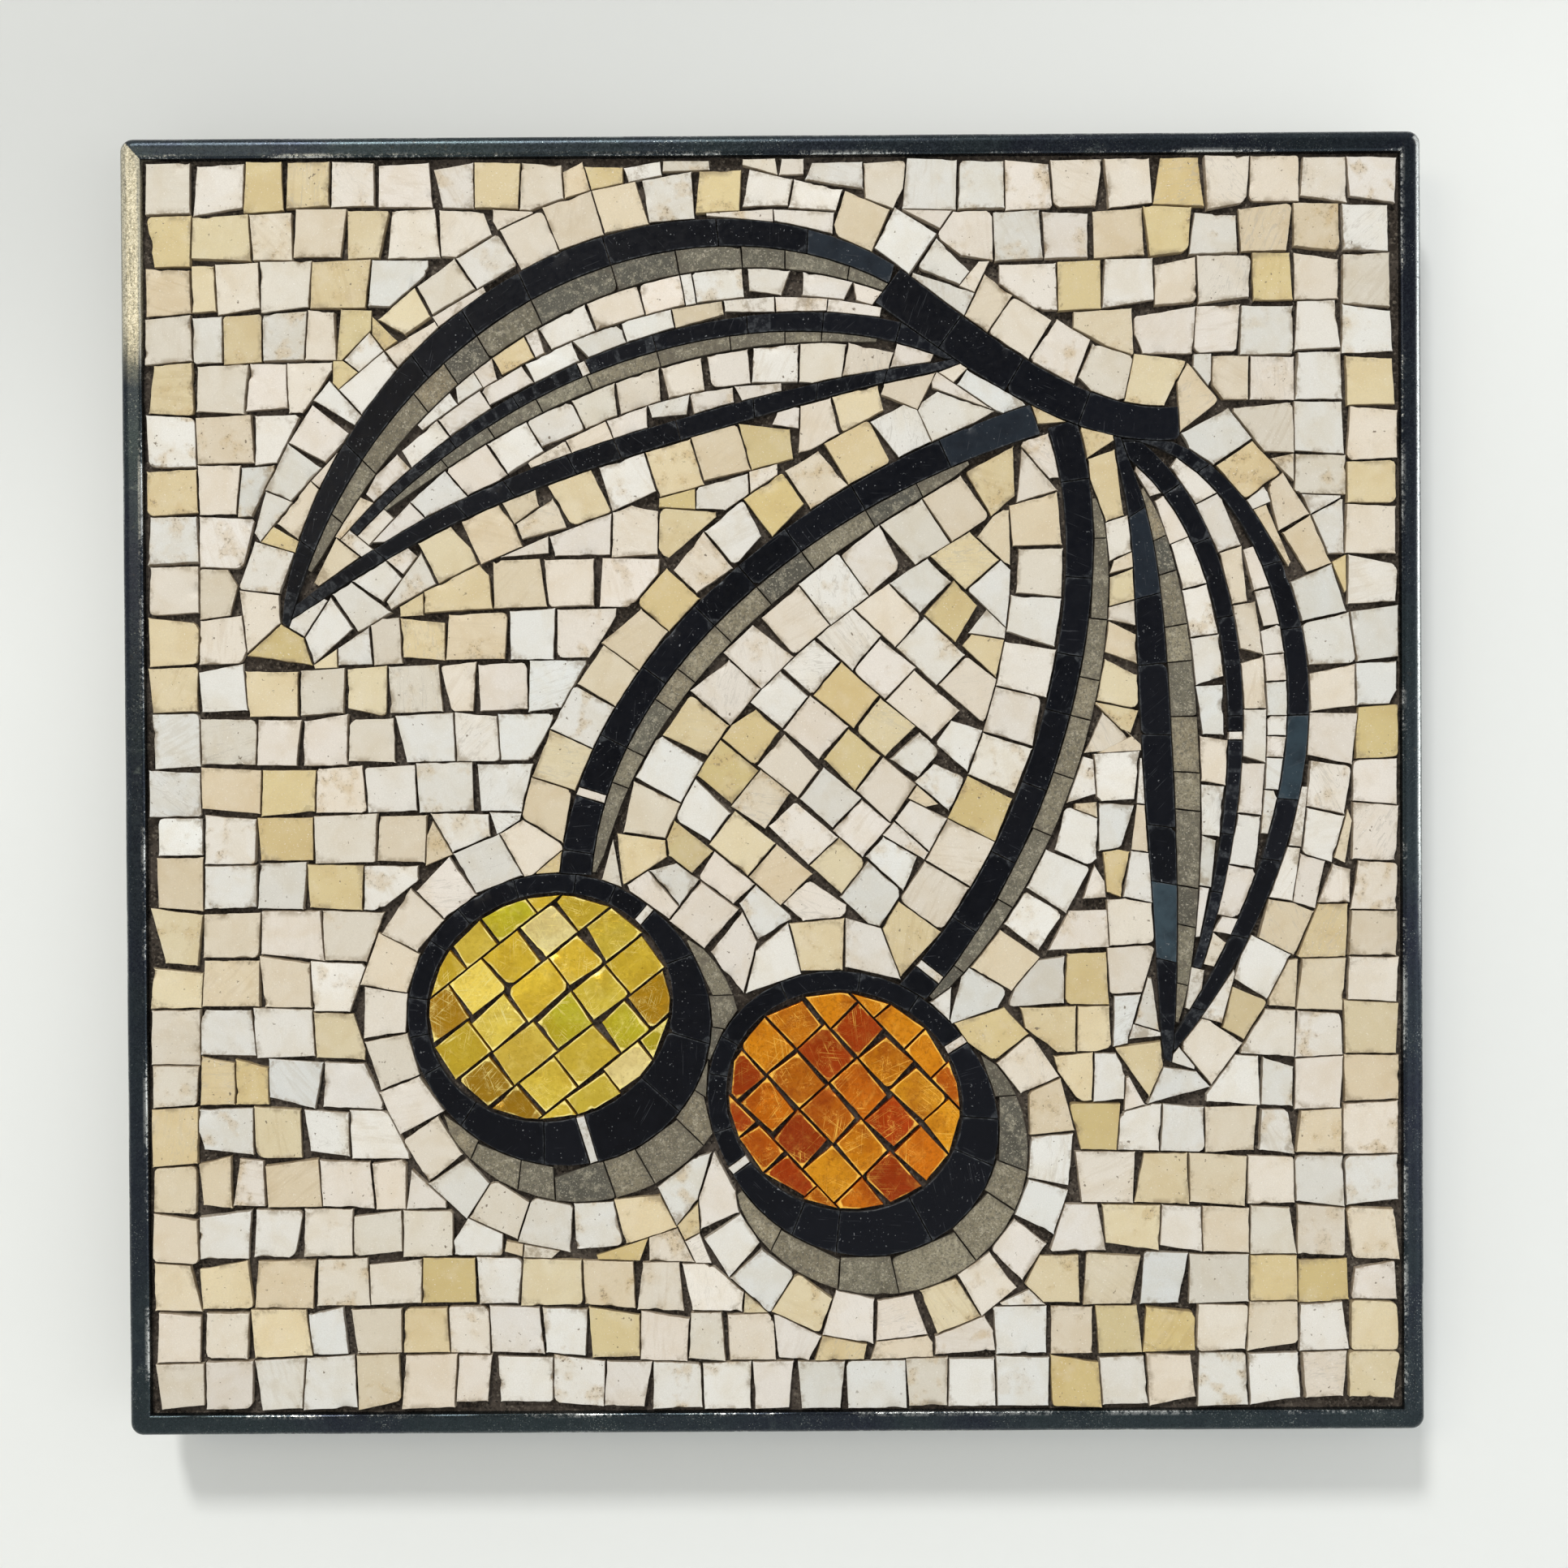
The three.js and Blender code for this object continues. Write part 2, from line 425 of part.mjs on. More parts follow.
function layRows(angle, height, size, lo, hi, from, to, free, mixOf, name) {
  const ux = turn([1, 0], angle), uy = turn([0, 1], angle);
  const P = (s, t) => { const w = t + 0.8 * Math.sin(s / 31 + t / 40 + 1.3) + 0.45 * Math.sin(s / 17 - t / 23); return [ux[0] * s + uy[0] * w, ux[1] * s + uy[1] * w]; };
  const count = Math.max(1, Math.floor((hi - lo) / height + 0.5)), h = (hi - lo) / count;
  for (let r = 0; r < count; r++) {
    const t0 = lo + r * h, t1 = t0 + h, runs = [];
    let start = null;
    for (let s = from; s <= to + 1.5; s += 1) {
      let ok = 0;
      if (s <= to) for (const k of [0.18, 0.5, 0.82]) if (free(P(s, t0 + h * k))) ok++;
      if (ok >= 2 && start === null) start = s;
      if (ok < 2 && start !== null) { runs.push([start, s - 1]); start = null; }
    }
    for (const [a, b] of runs) {
      const n = Math.max(1, Math.floor((b - a + 1) / (size + jit(0.5)) + 0.5)), w = (b - a + 1) / n;
      let x = a - 0.5, tight = 0, lean = 0;
      for (let k = 0; k < n; k++) {
        const xe = k === n - 1 ? b + 0.5 : a + w * (k + 1) + jit(1.3), close = rnd() < 0.45 && tight < 2, next = jit(0.45);
        tight = close ? tight + 1 : 0;
        const gl = k === 0 ? -1.6 : 0.1, gr = k === n - 1 ? -1.6 : (close ? 0.1 : 0.3 + 0.8 * rnd());
        const b0 = 0.15 + 0.5 * rnd(), b1 = 0.15 + 0.5 * rnd(), c0 = 0.15 + 0.5 * rnd(), c1 = 0.15 + 0.5 * rnd();
        const poly = [P(x + gl + lean + jit(0.1), t0 + b0), P(xe - gr + next + jit(0.3), t0 + b1), P(xe - gr - next + jit(0.3), t1 - c1), P(x + gl - lean + jit(0.1), t1 - c0)];
        lean = next;
        const o = { gap: 0.14 + 0.3 * rnd() * rnd(), minArea: 17, row: name + r + '.' + Math.floor(a) }, m = tone(mixOf), m2 = tone(mixOf);
        if (lay(flat(poly), m, o)) lay(flat(poly), m2, { ...o, minArea: 20, minThick: 3.2 });
        x = xe;
      }
    }
  }
}
function fillLeaf(lf, li) {
  const top = Math.max(...lf.lo), bot = Math.min(...lf.up), rows = Math.floor((top - bot) / 9.4 + 0.5), h = (top - bot) / rows;
  const length = lf.n * STEP, n = Math.floor(length / 11.5 + 0.5);
  for (let r = 0; r < rows; r++) {
    for (let k = 0; k < n; k++) {
      const off = (r % 2) * 0.5 / n, s0 = k / n + off, s1 = (k + 1) / n + off, t0 = bot + r * h, t1 = t0 + h, g = 0.14 / length;
      const i = Math.min(lf.n, Math.max(0, Math.floor((s0 + s1) / 2 * lf.n + 0.5)));
      if (t1 < lf.up[i] + 3 || t0 > lf.lo[i] - 3) continue;
      const S = (s, t) => lf.at(Math.max(0, Math.min(1, s)), t);
      const poly = cellOf([S(s0 + g, t0 + 0.15), S(s1 - g, t0 + 0.15), S(s1 - g, t1 - 0.15), S(s0 + g, t1 - 0.15)]).poly;
      if (area(poly) < 4) continue;
      const o = { gap: 0.14 + 0.2 * rnd(), stone: 0.25, minArea: 10, minThick: 1.9, row: 'leaf' + li + '.' + r }, m = tone(LEAF), m2 = tone(LEAF);
      if (lay(flat(poly), m, o)) lay(flat(poly), m2, { ...o, minArea: 12 });
    }
  }
}
function layChips() {                    // small pieces tapped into whatever is still open
  const nearest = (p) => {
    let m = 12, e = null;
    for (const c of laid.near(p, 12)) { if (len(sub(c.c, p)) - c.r > m) continue; const d = cellDistance(c, p); if (d < m) { m = d; e = c; } }
    return [m, e];
  };
  for (let pass = 0; pass < 2; pass++) {
    const spots = [];
    for (let i = 0; i < 162; i++) {
      for (let j = 0; j < 162; j++) {
        const p = [-HALF + 1 + j * (2 * HALF - 2) / 161, -HALF + 1 + i * (2 * HALF - 2) / 161];
        let inside = false;
        for (const c of laid.near(p, 0.01)) if (cellDistance(c, p) < 0.6) { inside = true; break; }
        if (inside) continue;
        const w = Math.min(nearest(p)[0], HALF - Math.abs(p[0]) + 0.5, HALF - Math.abs(p[1]) + 0.5);
        if (w > 1.3) spots.push([w, p, spots.length]);
      }
    }
    spots.sort((a, b) => b[0] - a[0] || a[2] - b[2]);
    const done = [];
    for (const [w, p] of spots) {
      if (done.some((q) => len(sub(q, p)) < 4.2)) continue;
      done.push(p);
      const [m, e] = nearest(p);
      if (m < 1.15) continue;
      let d = [1, 0], best = 1e9;
      if (e) {
        for (let i = 0; i < e.poly.length; i++) {
          const a = e.poly[i], b = e.poly[(i + 1) % e.poly.length], q = len(sub(mix(a, b, 0.5), p));
          if (len(sub(a, b)) > 2 && q < best) { best = q; d = unit(sub(b, a)); }
        }
      }
      const v = [-d[1], d[0]], r = Math.min(5.6, w + 2.6), l = r + 1.2 + rnd() * 1.6;
      const poly = [add(add(p, d, -l), v, -r), add(add(p, d, l), v, -r), add(add(p, d, l), v, r), add(add(p, d, -l), v, r)];
      const leafy = LEAVES.some((lf) => within(lf.shape, p));
      lay(flat(cellOf(poly).poly), leafy ? tone([1, 0]) : tone(GROUND), { gap: 0.22, stone: 0.22, minArea: 5, minThick: 1.6, row: 'chip' });
    }
  }
}
function layGround() {
  markFigure();
  LEAVES.forEach(fillLeaf);
  let s = -HALF;
  while (figureDistance([s, 30]) > COURSE / 2 + 0.35) s += 0.5;
  const outer = trace([s, 30], -1), inner = trace([10, 10], 1);
  layCourse(outer, 11.2, ROUND, 'outer');
  layCourse(inner, 11.2, ROUND, 'inner');
  const far = COURSE + 0.5, outerLine = resample(outer, 4, true), innerLine = resample(inner, 4, true);
  const outside = (p) => !within(outerLine, p);
  layRows(-41, 10.7, 11.2, -105, 105, -110, 110, (p) => within(innerLine, p) && figureDistance(p) > far, INSIDE, 'mid');
  const border = (p) => outside(p) && figureDistance(p) > far - 1.5;
  layRows(0, PITCH, CELL, HALF - PITCH, HALF, -HALF, HALF, border, GROUND, 'top');
  layRows(0, PITCH, CELL, -HALF, -HALF + PITCH, -HALF, HALF, border, GROUND, 'foot');
  layRows(90, PITCH, CELL, HALF - PITCH, HALF, -HALF + PITCH, HALF - PITCH, border, GROUND, 'left');
  layRows(90, PITCH, CELL, -HALF, -HALF + PITCH, -HALF + PITCH, HALF - PITCH, border, GROUND, 'right');
  layRows(90, PITCH, CELL, -HALF + PITCH, -HALF + 2 * PITCH, -HALF + PITCH, HALF - PITCH, border, GROUND, 'rightb');
  const rest = (p) => outside(p) && figureDistance(p) > far && p[0] > -HALF + PITCH && p[0] < HALF - 2 * PITCH && Math.abs(p[1]) < HALF - PITCH;
  layRows(0, PITCH, CELL, -HALF + PITCH, HALF - PITCH, -HALF + PITCH, HALF - 2 * PITCH, rest, GROUND, 'g');
  layChips();
}
layFigure();
layGround();

// ---------------------------------------------------------------- outlines of the solids
function hull(points) {
  const p = points.slice().sort((a, b) => a[0] - b[0] || a[1] - b[1]), half = (list) => {
    const h = [];
    for (const q of list) {
      while (h.length > 1) {
        const a = h[h.length - 2], b = h[h.length - 1];
        if ((b[0] - a[0]) * (q[1] - a[1]) - (b[1] - a[1]) * (q[0] - a[0]) > 1e-6) break;
        h.pop();
      }
      h.push(q);
    }
    h.pop();
    return h;
  };
  return [...half(p), ...half(p.slice().reverse())];
}
function thinOut(p, tol) {               // drops corners that stray less than tol from a straight side
  const out = p.slice();
  for (;;) {
    let best = tol, at = -1;
    for (let i = 0; i < out.length && out.length > 3; i++) {
      const a = out[(i + out.length - 1) % out.length], b = out[(i + 1) % out.length], q = out[i], ab = sub(b, a), l = len(ab) || 1;
      const d = Math.abs((ab[0] * (q[1] - a[1]) - ab[1] * (q[0] - a[0])) / l);
      if (d < best) { best = d; at = i; }
    }
    if (at < 0) return out;
    out.splice(at, 1);
  }
}
const islands = [];                      // { outline, proud }: blocks that stand on the bed, none touching
{
  const set = new Chequer(12);
  for (const t of tesserae) if (t.strip || t.mat === 'gold' || t.mat === 'amber') for (const c of t.cells) set.put({ ...c, own: t.own });
  for (const t of tesserae) {
    if (!t.strip || area(t.outline) < SMALLEST / 2) continue;
    const p = signedArea(t.body) < 0 ? t.body.slice().reverse() : t.body;
    islands.push({ outline: thinOut(tidy(p), 0.12), proud: t.mat === 'grey' ? GREY_PROUD : GLASS_PROUD });
  }
  let run = [];
  const flush = () => {
    if (run.length) {
      let t = flat(thinOut(hull(run.flatMap((q) => q.outline)), 0.8));
      const c0 = middle(t.outline);
      for (const c of set.near(c0, reach(t.outline, c0) + 1)) if (t && t.outline.length) t = nip(t, [c], 0.2);
      const p = t ? thinOut(tidy(t.outline), 0.08) : [];
      if (p.length > 2 && area(p) > SMALLEST) {
        islands.push({ outline: p, proud: STONE_PROUD });
        set.put({ ...cellOf(p), own: 'b' + islands.length });
      }
    }
    run = [];
  };
  for (const t of tesserae) {
    if (t.strip || t.mat === 'gold' || t.mat === 'amber' || area(t.outline) < SMALLEST) continue;
    if (run.length) {
      const both = [...run, t], h = area(hull(both.flatMap((q) => q.outline)));
      const fits = t.row === run[0].row && t.row !== 'chip' && run.length < RUN_MAX && h < 1.11 * both.reduce((s, q) => s + area(q.outline), 0);
      if (!fits) flush();
    }
    run.push(t);
  }
  flush();
}

// ---------------------------------------------------------------- solids
const wasm = await Module();
wasm.setup();
// a flat-sided block with the given outline, from y = back forward to y = front
function block(outline, back, front) {
  const shape = new THREE.Shape(outline.map((p) => new THREE.Vector2(p[0], p[1])));
  const g = new THREE.ExtrudeGeometry(shape, { depth: back - front, bevelEnabled: false, curveSegments: 1 });
  g.rotateX(Math.PI / 2);               // the outline's v becomes +Z, its depth runs towards -Y
  g.translate(0, back, 0);
  return g;
}
function plain(g) {
  g.deleteAttribute('normal'); g.deleteAttribute('uv');
  return mergeVertices(g, 1e-4);
}
function toManifold(g) {
  const m = plain(g);
  return new wasm.Manifold(new wasm.Mesh({ numProp: 3, vertProperties: new Float32Array(m.attributes.position.array), triVerts: new Uint32Array(m.index.array) }));
}
// the joined solid, without the hair-thin shells that can be left where two walls coincide
function fromManifold(solid) {
  const mesh = solid.getMesh(), g = new THREE.BufferGeometry(), p = new Float32Array(mesh.numVert * 3);
  for (let i = 0; i < mesh.numVert; i++) for (let k = 0; k < 3; k++) p[i * 3 + k] = mesh.vertProperties[i * mesh.numProp + k];
  const tri = mesh.triVerts, parent = Array.from({ length: mesh.numVert }, (_, i) => i), count = new Map();
  const root = (i) => { while (parent[i] !== i) { parent[i] = parent[parent[i]]; i = parent[i]; } return i; };
  for (let i = 0; i < tri.length; i += 3) { parent[root(tri[i])] = root(tri[i + 1]); parent[root(tri[i + 1])] = root(tri[i + 2]); }
  for (let i = 0; i < tri.length; i += 3) count.set(root(tri[i]), (count.get(root(tri[i])) || 0) + 1);
  const main = [...count].sort((a, b) => b[1] - a[1])[0][0], keep = [];
  for (let i = 0; i < tri.length; i += 3) if (root(tri[i]) === main) keep.push(tri[i], tri[i + 1], tri[i + 2]);
  g.setAttribute('position', new THREE.BufferAttribute(p, 3));
  g.setIndex(keep);
  return g;
}
const square = (w) => [[-w / 2, -w / 2], [w / 2, -w / 2], [w / 2, w / 2], [-w / 2, w / 2]];

// the bed with its stone and glass, which are stuck to it and to each other
function makeMosaic() {
  let solid = toManifold(block(square(FIELD), BACK, BED_FRONT));
  for (const i of islands) solid = solid.add(toManifold(block(i.outline, BED_FRONT + 0.5, BED_FRONT - i.proud)));
  return fromManifold(solid);
}

// the frame: one rail section swept round the square, its outside corners rounded
function makeFrame() {
  const w = RAIL, r = RAIL_ROUND, e0 = RAIL_EASE, arc = 4, ease = 2;
  // section across the rail: e is the distance in from the outside face, y the depth
  const section = [[0, BACK]];
  for (let i = 0; i <= arc; i++) { const a = Math.PI / 2 * i / arc; section.push([r - r * Math.cos(a), FRONT + r - r * Math.sin(a)]); }
  for (let i = 0; i <= ease; i++) { const a = Math.PI / 2 * i / ease; section.push([w - e0 + e0 * Math.sin(a), FRONT + e0 - e0 * Math.cos(a)]); }
  section.push([w, BACK]);
  // round the square: each corner is a fan of stations that share the inner corner
  const turns = 4, pos = [], index = [], n = section.length;
  const stations = [];
  for (let c = 0; c < 4; c++) for (let k = 0; k <= turns; k++) stations.push([c, (c * 90 + 90 * k / turns) * Math.PI / 180]);
  for (const [c, a] of stations) {
    const sx = [1, -1, -1, 1][c], sz = [1, 1, -1, -1][c], H = SIDE / 2;
    for (const [e, y] of section) {
      const rad = CORNER * (1 - e / w), inset = H - e;   // the radius shrinks to a sharp inside corner
      pos.push(sx * (inset - rad) + rad * Math.cos(a), y, sz * (inset - rad) + rad * Math.sin(a));
    }
  }
  const m = stations.length;
  for (let i = 0; i < m; i++) {
    for (let j = 0; j < n; j++) {
      const a = i * n + j, b = i * n + (j + 1) % n, c = ((i + 1) % m) * n + j, d = ((i + 1) % m) * n + (j + 1) % n;
      index.push(a, c, b, b, c, d);
    }
  }
  const g = new THREE.BufferGeometry();
  g.setAttribute('position', new THREE.Float32BufferAttribute(pos, 3));
  g.setIndex(index);
  const welded = mergeVertices(g, 1e-4), id = [];       // drops the triangles closed up at the inside corners
  const t = welded.index.array;
  for (let i = 0; i < t.length; i += 3) if (t[i] !== t[i + 1] && t[i + 1] !== t[i + 2] && t[i] !== t[i + 2]) id.push(t[i], t[i + 1], t[i + 2]);
  welded.setIndex(id);
  return welded;
}

const finish = {
  steel: { color: 0x2d3236, roughness: 0.42, metalness: 0.7 },
  stone: { color: 0xd8cfba, roughness: 0.55, metalness: 0.0 },
  gold: { color: 0xc4a23c, roughness: 0.28, metalness: 0.8 },
  amber: { color: 0xa8521a, roughness: 0.28, metalness: 0.7 },
  wood: { color: 0xb08d5c, roughness: 0.75, metalness: 0.0 },
};
const panel = new THREE.Group();
function addMesh(name, geometry, look) {
  geometry.computeVertexNormals();
  const mesh = new THREE.Mesh(geometry, new THREE.MeshStandardMaterial(finish[look]));
  mesh.name = name;
  panel.add(mesh);
}
addMesh('frame', makeFrame(), 'steel');
addMesh('mosaic_bed', makeMosaic(), 'stone');
addMesh('hanging_board', plain(block(square(BOARD), 0, BACK)), 'wood');
for (const [mat, name] of [['gold', 'gold_leaf_tessera'], ['amber', 'amber_leaf_tessera']]) {
  tesserae.filter((t) => t.mat === mat).forEach((t, i) => addMesh(`${name}_${String(i + 1).padStart(2, '0')}`, plain(block(t.outline, BED_FRONT, BED_FRONT - LEAF_PROUD)), mat));
}

export default panel;
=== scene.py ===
import math
import random

import bpy
import numpy as np
from mathutils import Matrix, Vector, noise
from mathutils.geometry import delaunay_2d_cdt


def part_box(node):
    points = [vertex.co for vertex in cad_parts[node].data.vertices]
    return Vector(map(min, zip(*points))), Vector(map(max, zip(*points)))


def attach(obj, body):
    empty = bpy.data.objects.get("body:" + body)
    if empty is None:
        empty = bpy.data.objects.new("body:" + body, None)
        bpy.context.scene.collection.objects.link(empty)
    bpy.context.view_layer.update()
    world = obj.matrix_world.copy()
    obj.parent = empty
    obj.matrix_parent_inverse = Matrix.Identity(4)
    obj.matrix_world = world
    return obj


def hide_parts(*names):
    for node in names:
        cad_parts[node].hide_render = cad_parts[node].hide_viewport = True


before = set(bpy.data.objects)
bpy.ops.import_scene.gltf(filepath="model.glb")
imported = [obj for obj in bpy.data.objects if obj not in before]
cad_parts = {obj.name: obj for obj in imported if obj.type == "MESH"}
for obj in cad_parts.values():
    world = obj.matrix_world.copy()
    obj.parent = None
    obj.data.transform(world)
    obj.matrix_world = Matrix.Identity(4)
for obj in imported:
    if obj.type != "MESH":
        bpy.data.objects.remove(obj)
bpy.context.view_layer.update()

# Mosaic panel: the looks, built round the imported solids. The panel hangs upright, its picture
# faces -Y, and the origin is the centre of the hanging board's back. Metres, except in the
# layout below, which is in millimetres across the picture.
MM = 0.001
BED_LO, BED_HI = (Vector(v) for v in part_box("mosaic_bed"))
BOARD_LO, BOARD_HI = (Vector(v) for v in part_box("hanging_board"))
FRAME_LO, FRAME_HI = (Vector(v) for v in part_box("frame"))

# ---------------------------------------------------------------- the picture's layout, mm
# The same construction as the solids: u runs to the right and v up, from the panel's centre.
SIDE, RAIL, FRAME_DEPTH, CORNER = 300.0, 5.0, 10.0, 3.0
BOARD, BOARD_THICK, BED_THICK = 220.0, 14.0, 7.5
FIELD, EDGE, PITCH, CELL, STEP, COURSE = 290.0, 1.1, 11.65, 11.5, 4.5, 10.6
HALF = FIELD / 2 - EDGE
TAU = math.pi * 2
TWIG = [[27, 115], [42, 104], [70, 80], [94, 83]]
FRUITS = [
    dict(name="gold", c=[-52, -51], a=28.5, b=26.0, tilt=20, grid=38, ring=4.6, heavy=7.5, sun=128, bars=[3, 31]),
    dict(name="amber", c=[16, -73], a=27.5, b=25.0, tilt=-24, grid=-47, ring=4.6, heavy=7.0, sun=122, bars=[6, 27]),
]
LEAVES = [
    dict(spine=[[46, 98], [8, 121], [-70, 110], [-113, 38]], wide=26, back=24),
    dict(spine=[[79, 80], [112, 58], [108, -10], [90, -64]], wide=20, back=19),
]
STEMS = [
    dict(name="A", line=[[61, 84], [6, 67], [-44, 26], [-46, -24]], half=3.6, side=1, shade=4.2, lo=0.12, hi=0.97, bars=[31]),
    dict(name="B", line=[[67, 83], [78, 50], [66, -12], [30, -50]], half=3.4, side=1, shade=3.8, lo=0.13, hi=0.97, bars=[30]),
]
sqrt, sin, cos, floor = math.sqrt, math.sin, math.cos, math.floor
_seed = [20417]


def rnd():
    _seed[0] = (_seed[0] * 1664525 + 1013904223) % 4294967296
    return _seed[0] / 4294967296


def jit(a):
    return (rnd() * 2 - 1) * a


def add(a, b, k=1.0):
    return (a[0] + b[0] * k, a[1] + b[1] * k)


def sub(a, b):
    return (a[0] - b[0], a[1] - b[1])


def mix(a, b, t):
    return (a[0] + (b[0] - a[0]) * t, a[1] + (b[1] - a[1]) * t)


def dist(a, b):
    x, y = a[0] - b[0], a[1] - b[1]
    return sqrt(x * x + y * y)


def unit(a):
    l = sqrt(a[0] * a[0] + a[1] * a[1]) or 1
    return (a[0] / l, a[1] / l)


def turn(a, deg):
    r = deg * math.pi / 180
    c, s = cos(r), sin(r)
    return (a[0] * c - a[1] * s, a[0] * s + a[1] * c)


def swell(x, p):
    return 0.0 if x <= 0 else x ** p


def signed_area(p):
    s = 0.0
    for i in range(len(p)):
        a, b = p[i], p[(i + 1) % len(p)]
        s += a[0] * b[1] - b[0] * a[1]
    return s / 2


def area(p):
    return abs(signed_area(p))


def middle(p):
    x = y = 0.0
    for q in p:
        x += q[0]
        y += q[1]
    return (x / len(p), y / len(p))


def reach(p, c):
    return max([dist(q, c) for q in p] + [0.0])


def span(p):
    return max(dist(a, b) for a in p for b in p)


def clip(poly, n, d):
    """the part of a polygon where n.x >= d"""
    out = []
    m = len(poly)
    n0, n1 = n
    ds = [n0 * q[0] + n1 * q[1] - d for q in poly]
    for i in range(m):
        a, b = poly[i], poly[(i + 1) % m]
        da, db = ds[i], ds[(i + 1) % m]
        if da >= 0:
            out.append(a)
        if (da >= 0) != (db >= 0):
            out.append(mix(a, b, da / (da - db)))
    return [] if len(out) < 3 else out


def sides(p):
    e = []
    for i in range(len(p)):
        a, b = p[i], p[(i + 1) % len(p)]
        l = dist(b, a)
        if l < 1e-6:
            continue
        n = ((b[1] - a[1]) / l, -(b[0] - a[0]) / l)
        e.append((n, n[0] * a[0] + n[1] * a[1]))
    return e


class Cell:
    __slots__ = ("poly", "edges", "c", "r", "id", "own")

    def __init__(self, p):
        self.poly = list(reversed(p)) if signed_area(p) < 0 else list(p)
        self.c = middle(self.poly)
        self.edges = sides(self.poly)
        self.r = reach(self.poly, self.c)
        self.own = None


def touching(a, b, gap):
    if dist(a.c, b.c) > a.r + b.r + gap:
        return False
    lim = gap - 1e-4
    for p, q in ((a, b), (b, a)):
        for n, d in p.edges:
            n0, n1 = n
            if min([n0 * x[0] + n1 * x[1] - d for x in q.poly]) >= lim:
                return False
    return True


def cell_distance(c, x):
    x0, x1 = x
    inside = max([n[0] * x0 + n[1] * x1 - d for n, d in c.edges] + [-1e9])
    if inside <= 0:
        return inside
    best = 1e9
    p = c.poly
    for i in range(len(p)):
        a, b = p[i], p[(i + 1) % len(p)]
        ab0, ab1, ax0, ax1 = b[0] - a[0], b[1] - a[1], x0 - a[0], x1 - a[1]
        t = max(0, min(1, (ab0 * ax0 + ab1 * ax1) / (ab0 * ab0 + ab1 * ab1 + 1e-12)))
        u, v = ax0 - ab0 * t, ax1 - ab1 * t
        best = min(best, sqrt(u * u + v * v))
    return best


def within(poly, x):
    c = False
    j = len(poly) - 1
    for i in range(len(poly)):
        a, b = poly[i], poly[j]
        if (a[1] > x[1]) != (b[1] > x[1]) and x[0] < (b[0] - a[0]) * (x[1] - a[1]) / (b[1] - a[1]) + a[0]:
            c = not c
        j = i
    return c


class Chequer:
    """boxes that find the cells near a point quickly"""

    def __init__(self, size):
        self.size, self.boxes, self.count = size, {}, 0

    def put(self, cell):
        cell.id = self.count
        self.count += 1
        s = self.size
        for i in range(floor((cell.c[0] - cell.r) / s), floor((cell.c[0] + cell.r) / s) + 1):
            for j in range(floor((cell.c[1] - cell.r) / s), floor((cell.c[1] + cell.r) / s) + 1):
                self.boxes.setdefault((i, j), []).append(cell)

    def near(self, p, r):
        s, found = self.size, {}
        for i in range(floor((p[0] - r) / s), floor((p[0] + r) / s) + 1):
            for j in range(floor((p[1] - r) / s), floor((p[1] + r) / s) + 1):
                for c in self.boxes.get((i, j), ()):
                    if c.id not in found and dist(c.c, p) < c.r + r:
                        found[c.id] = c
        return [found[k] for k in sorted(found)]


tesserae = []
laid = Chequer(12)


def cut(t, n, d):
    cells = []
    for c in t["cells"]:
        p = clip(c.poly, n, d)
        if p and area(p) > 0.02:
            cells.append(Cell(p))
    return dict(outline=clip(t["outline"], n, d), cells=cells)


def clashes(t, cells, gap):
    return [c for c in cells if any(touching(k, c, gap) for k in t["cells"])]


def nip(t, cells, gap):
    bad = clashes(t, cells, gap)
    if not bad:
        return t
    one, one_area = None, 0
    for c in bad:
        for n, d in c.edges:
            o = clip(t["outline"], n, d + gap)
            if not o:
                continue
            a = area(o)
            if a > one_area:
                k = cut(t, n, d + gap)
                if not clashes(k, bad, gap - 0.02):
                    one, one_area = k, a
    many = t
    for c in bad:
        if not any(touching(k, c, gap) for k in many["cells"]):
            continue
        best, best_area = None, 0
        for n, d in c.edges:
            o = clip(many["outline"], n, d + gap)
            if o:
                a = area(o)
                if a > best_area:
                    best, best_area = (n, d + gap), a
        if best is None:
            many = None
            break
        many = cut(many, best[0], best[1])
    many_area = area(many["outline"]) if many else 0
    return one if one_area >= many_area * 0.97 else many


def tidy(p):
    out = []
    for q in p:
        if not out or dist(q, out[-1]) > 0.35:
            out.append(q)
    while len(out) > 3 and dist(out[0], out[-1]) < 0.35:
        out.pop()
    return out


def lay(t, mat, gap=None, own=None, minArea=15, minThick=2.2, stone=0.3, row=None):
    for n in ((1, 0), (-1, 0), (0, 1), (0, -1)):
        t = cut(t, n, -HALF)
        if not t["outline"] or not t["cells"]:
            return None
    c0 = middle(t["outline"])
    groups = {}
    for c in laid.near(c0, reach(t["outline"], c0) + 2):
        if c.own == own and own:
            continue
        groups.setdefault(c.own, []).append(c)
    for g, cells in groups.items():
        t = nip(t, cells, stone if g[0] == "s" else gap)
        if not t or not t["outline"] or not t["cells"]:
            return None
    outline = tidy(t["outline"])
    a = area(outline)
    if a < minArea or len(outline) < 3 or a / span(outline) < minThick * 0.5:
        return None
    if signed_area(outline) < 0:
        outline.reverse()
    piece = dict(outline=outline, cells=t["cells"], mat=mat, own=own or "t%d" % len(tesserae), strip=bool(own), row=row)
    tesserae.append(piece)
    for c in piece["cells"]:
        c.own = piece["own"]
        laid.put(c)
    return piece


def flat(poly):
    return dict(outline=list(poly), cells=[Cell(poly)])


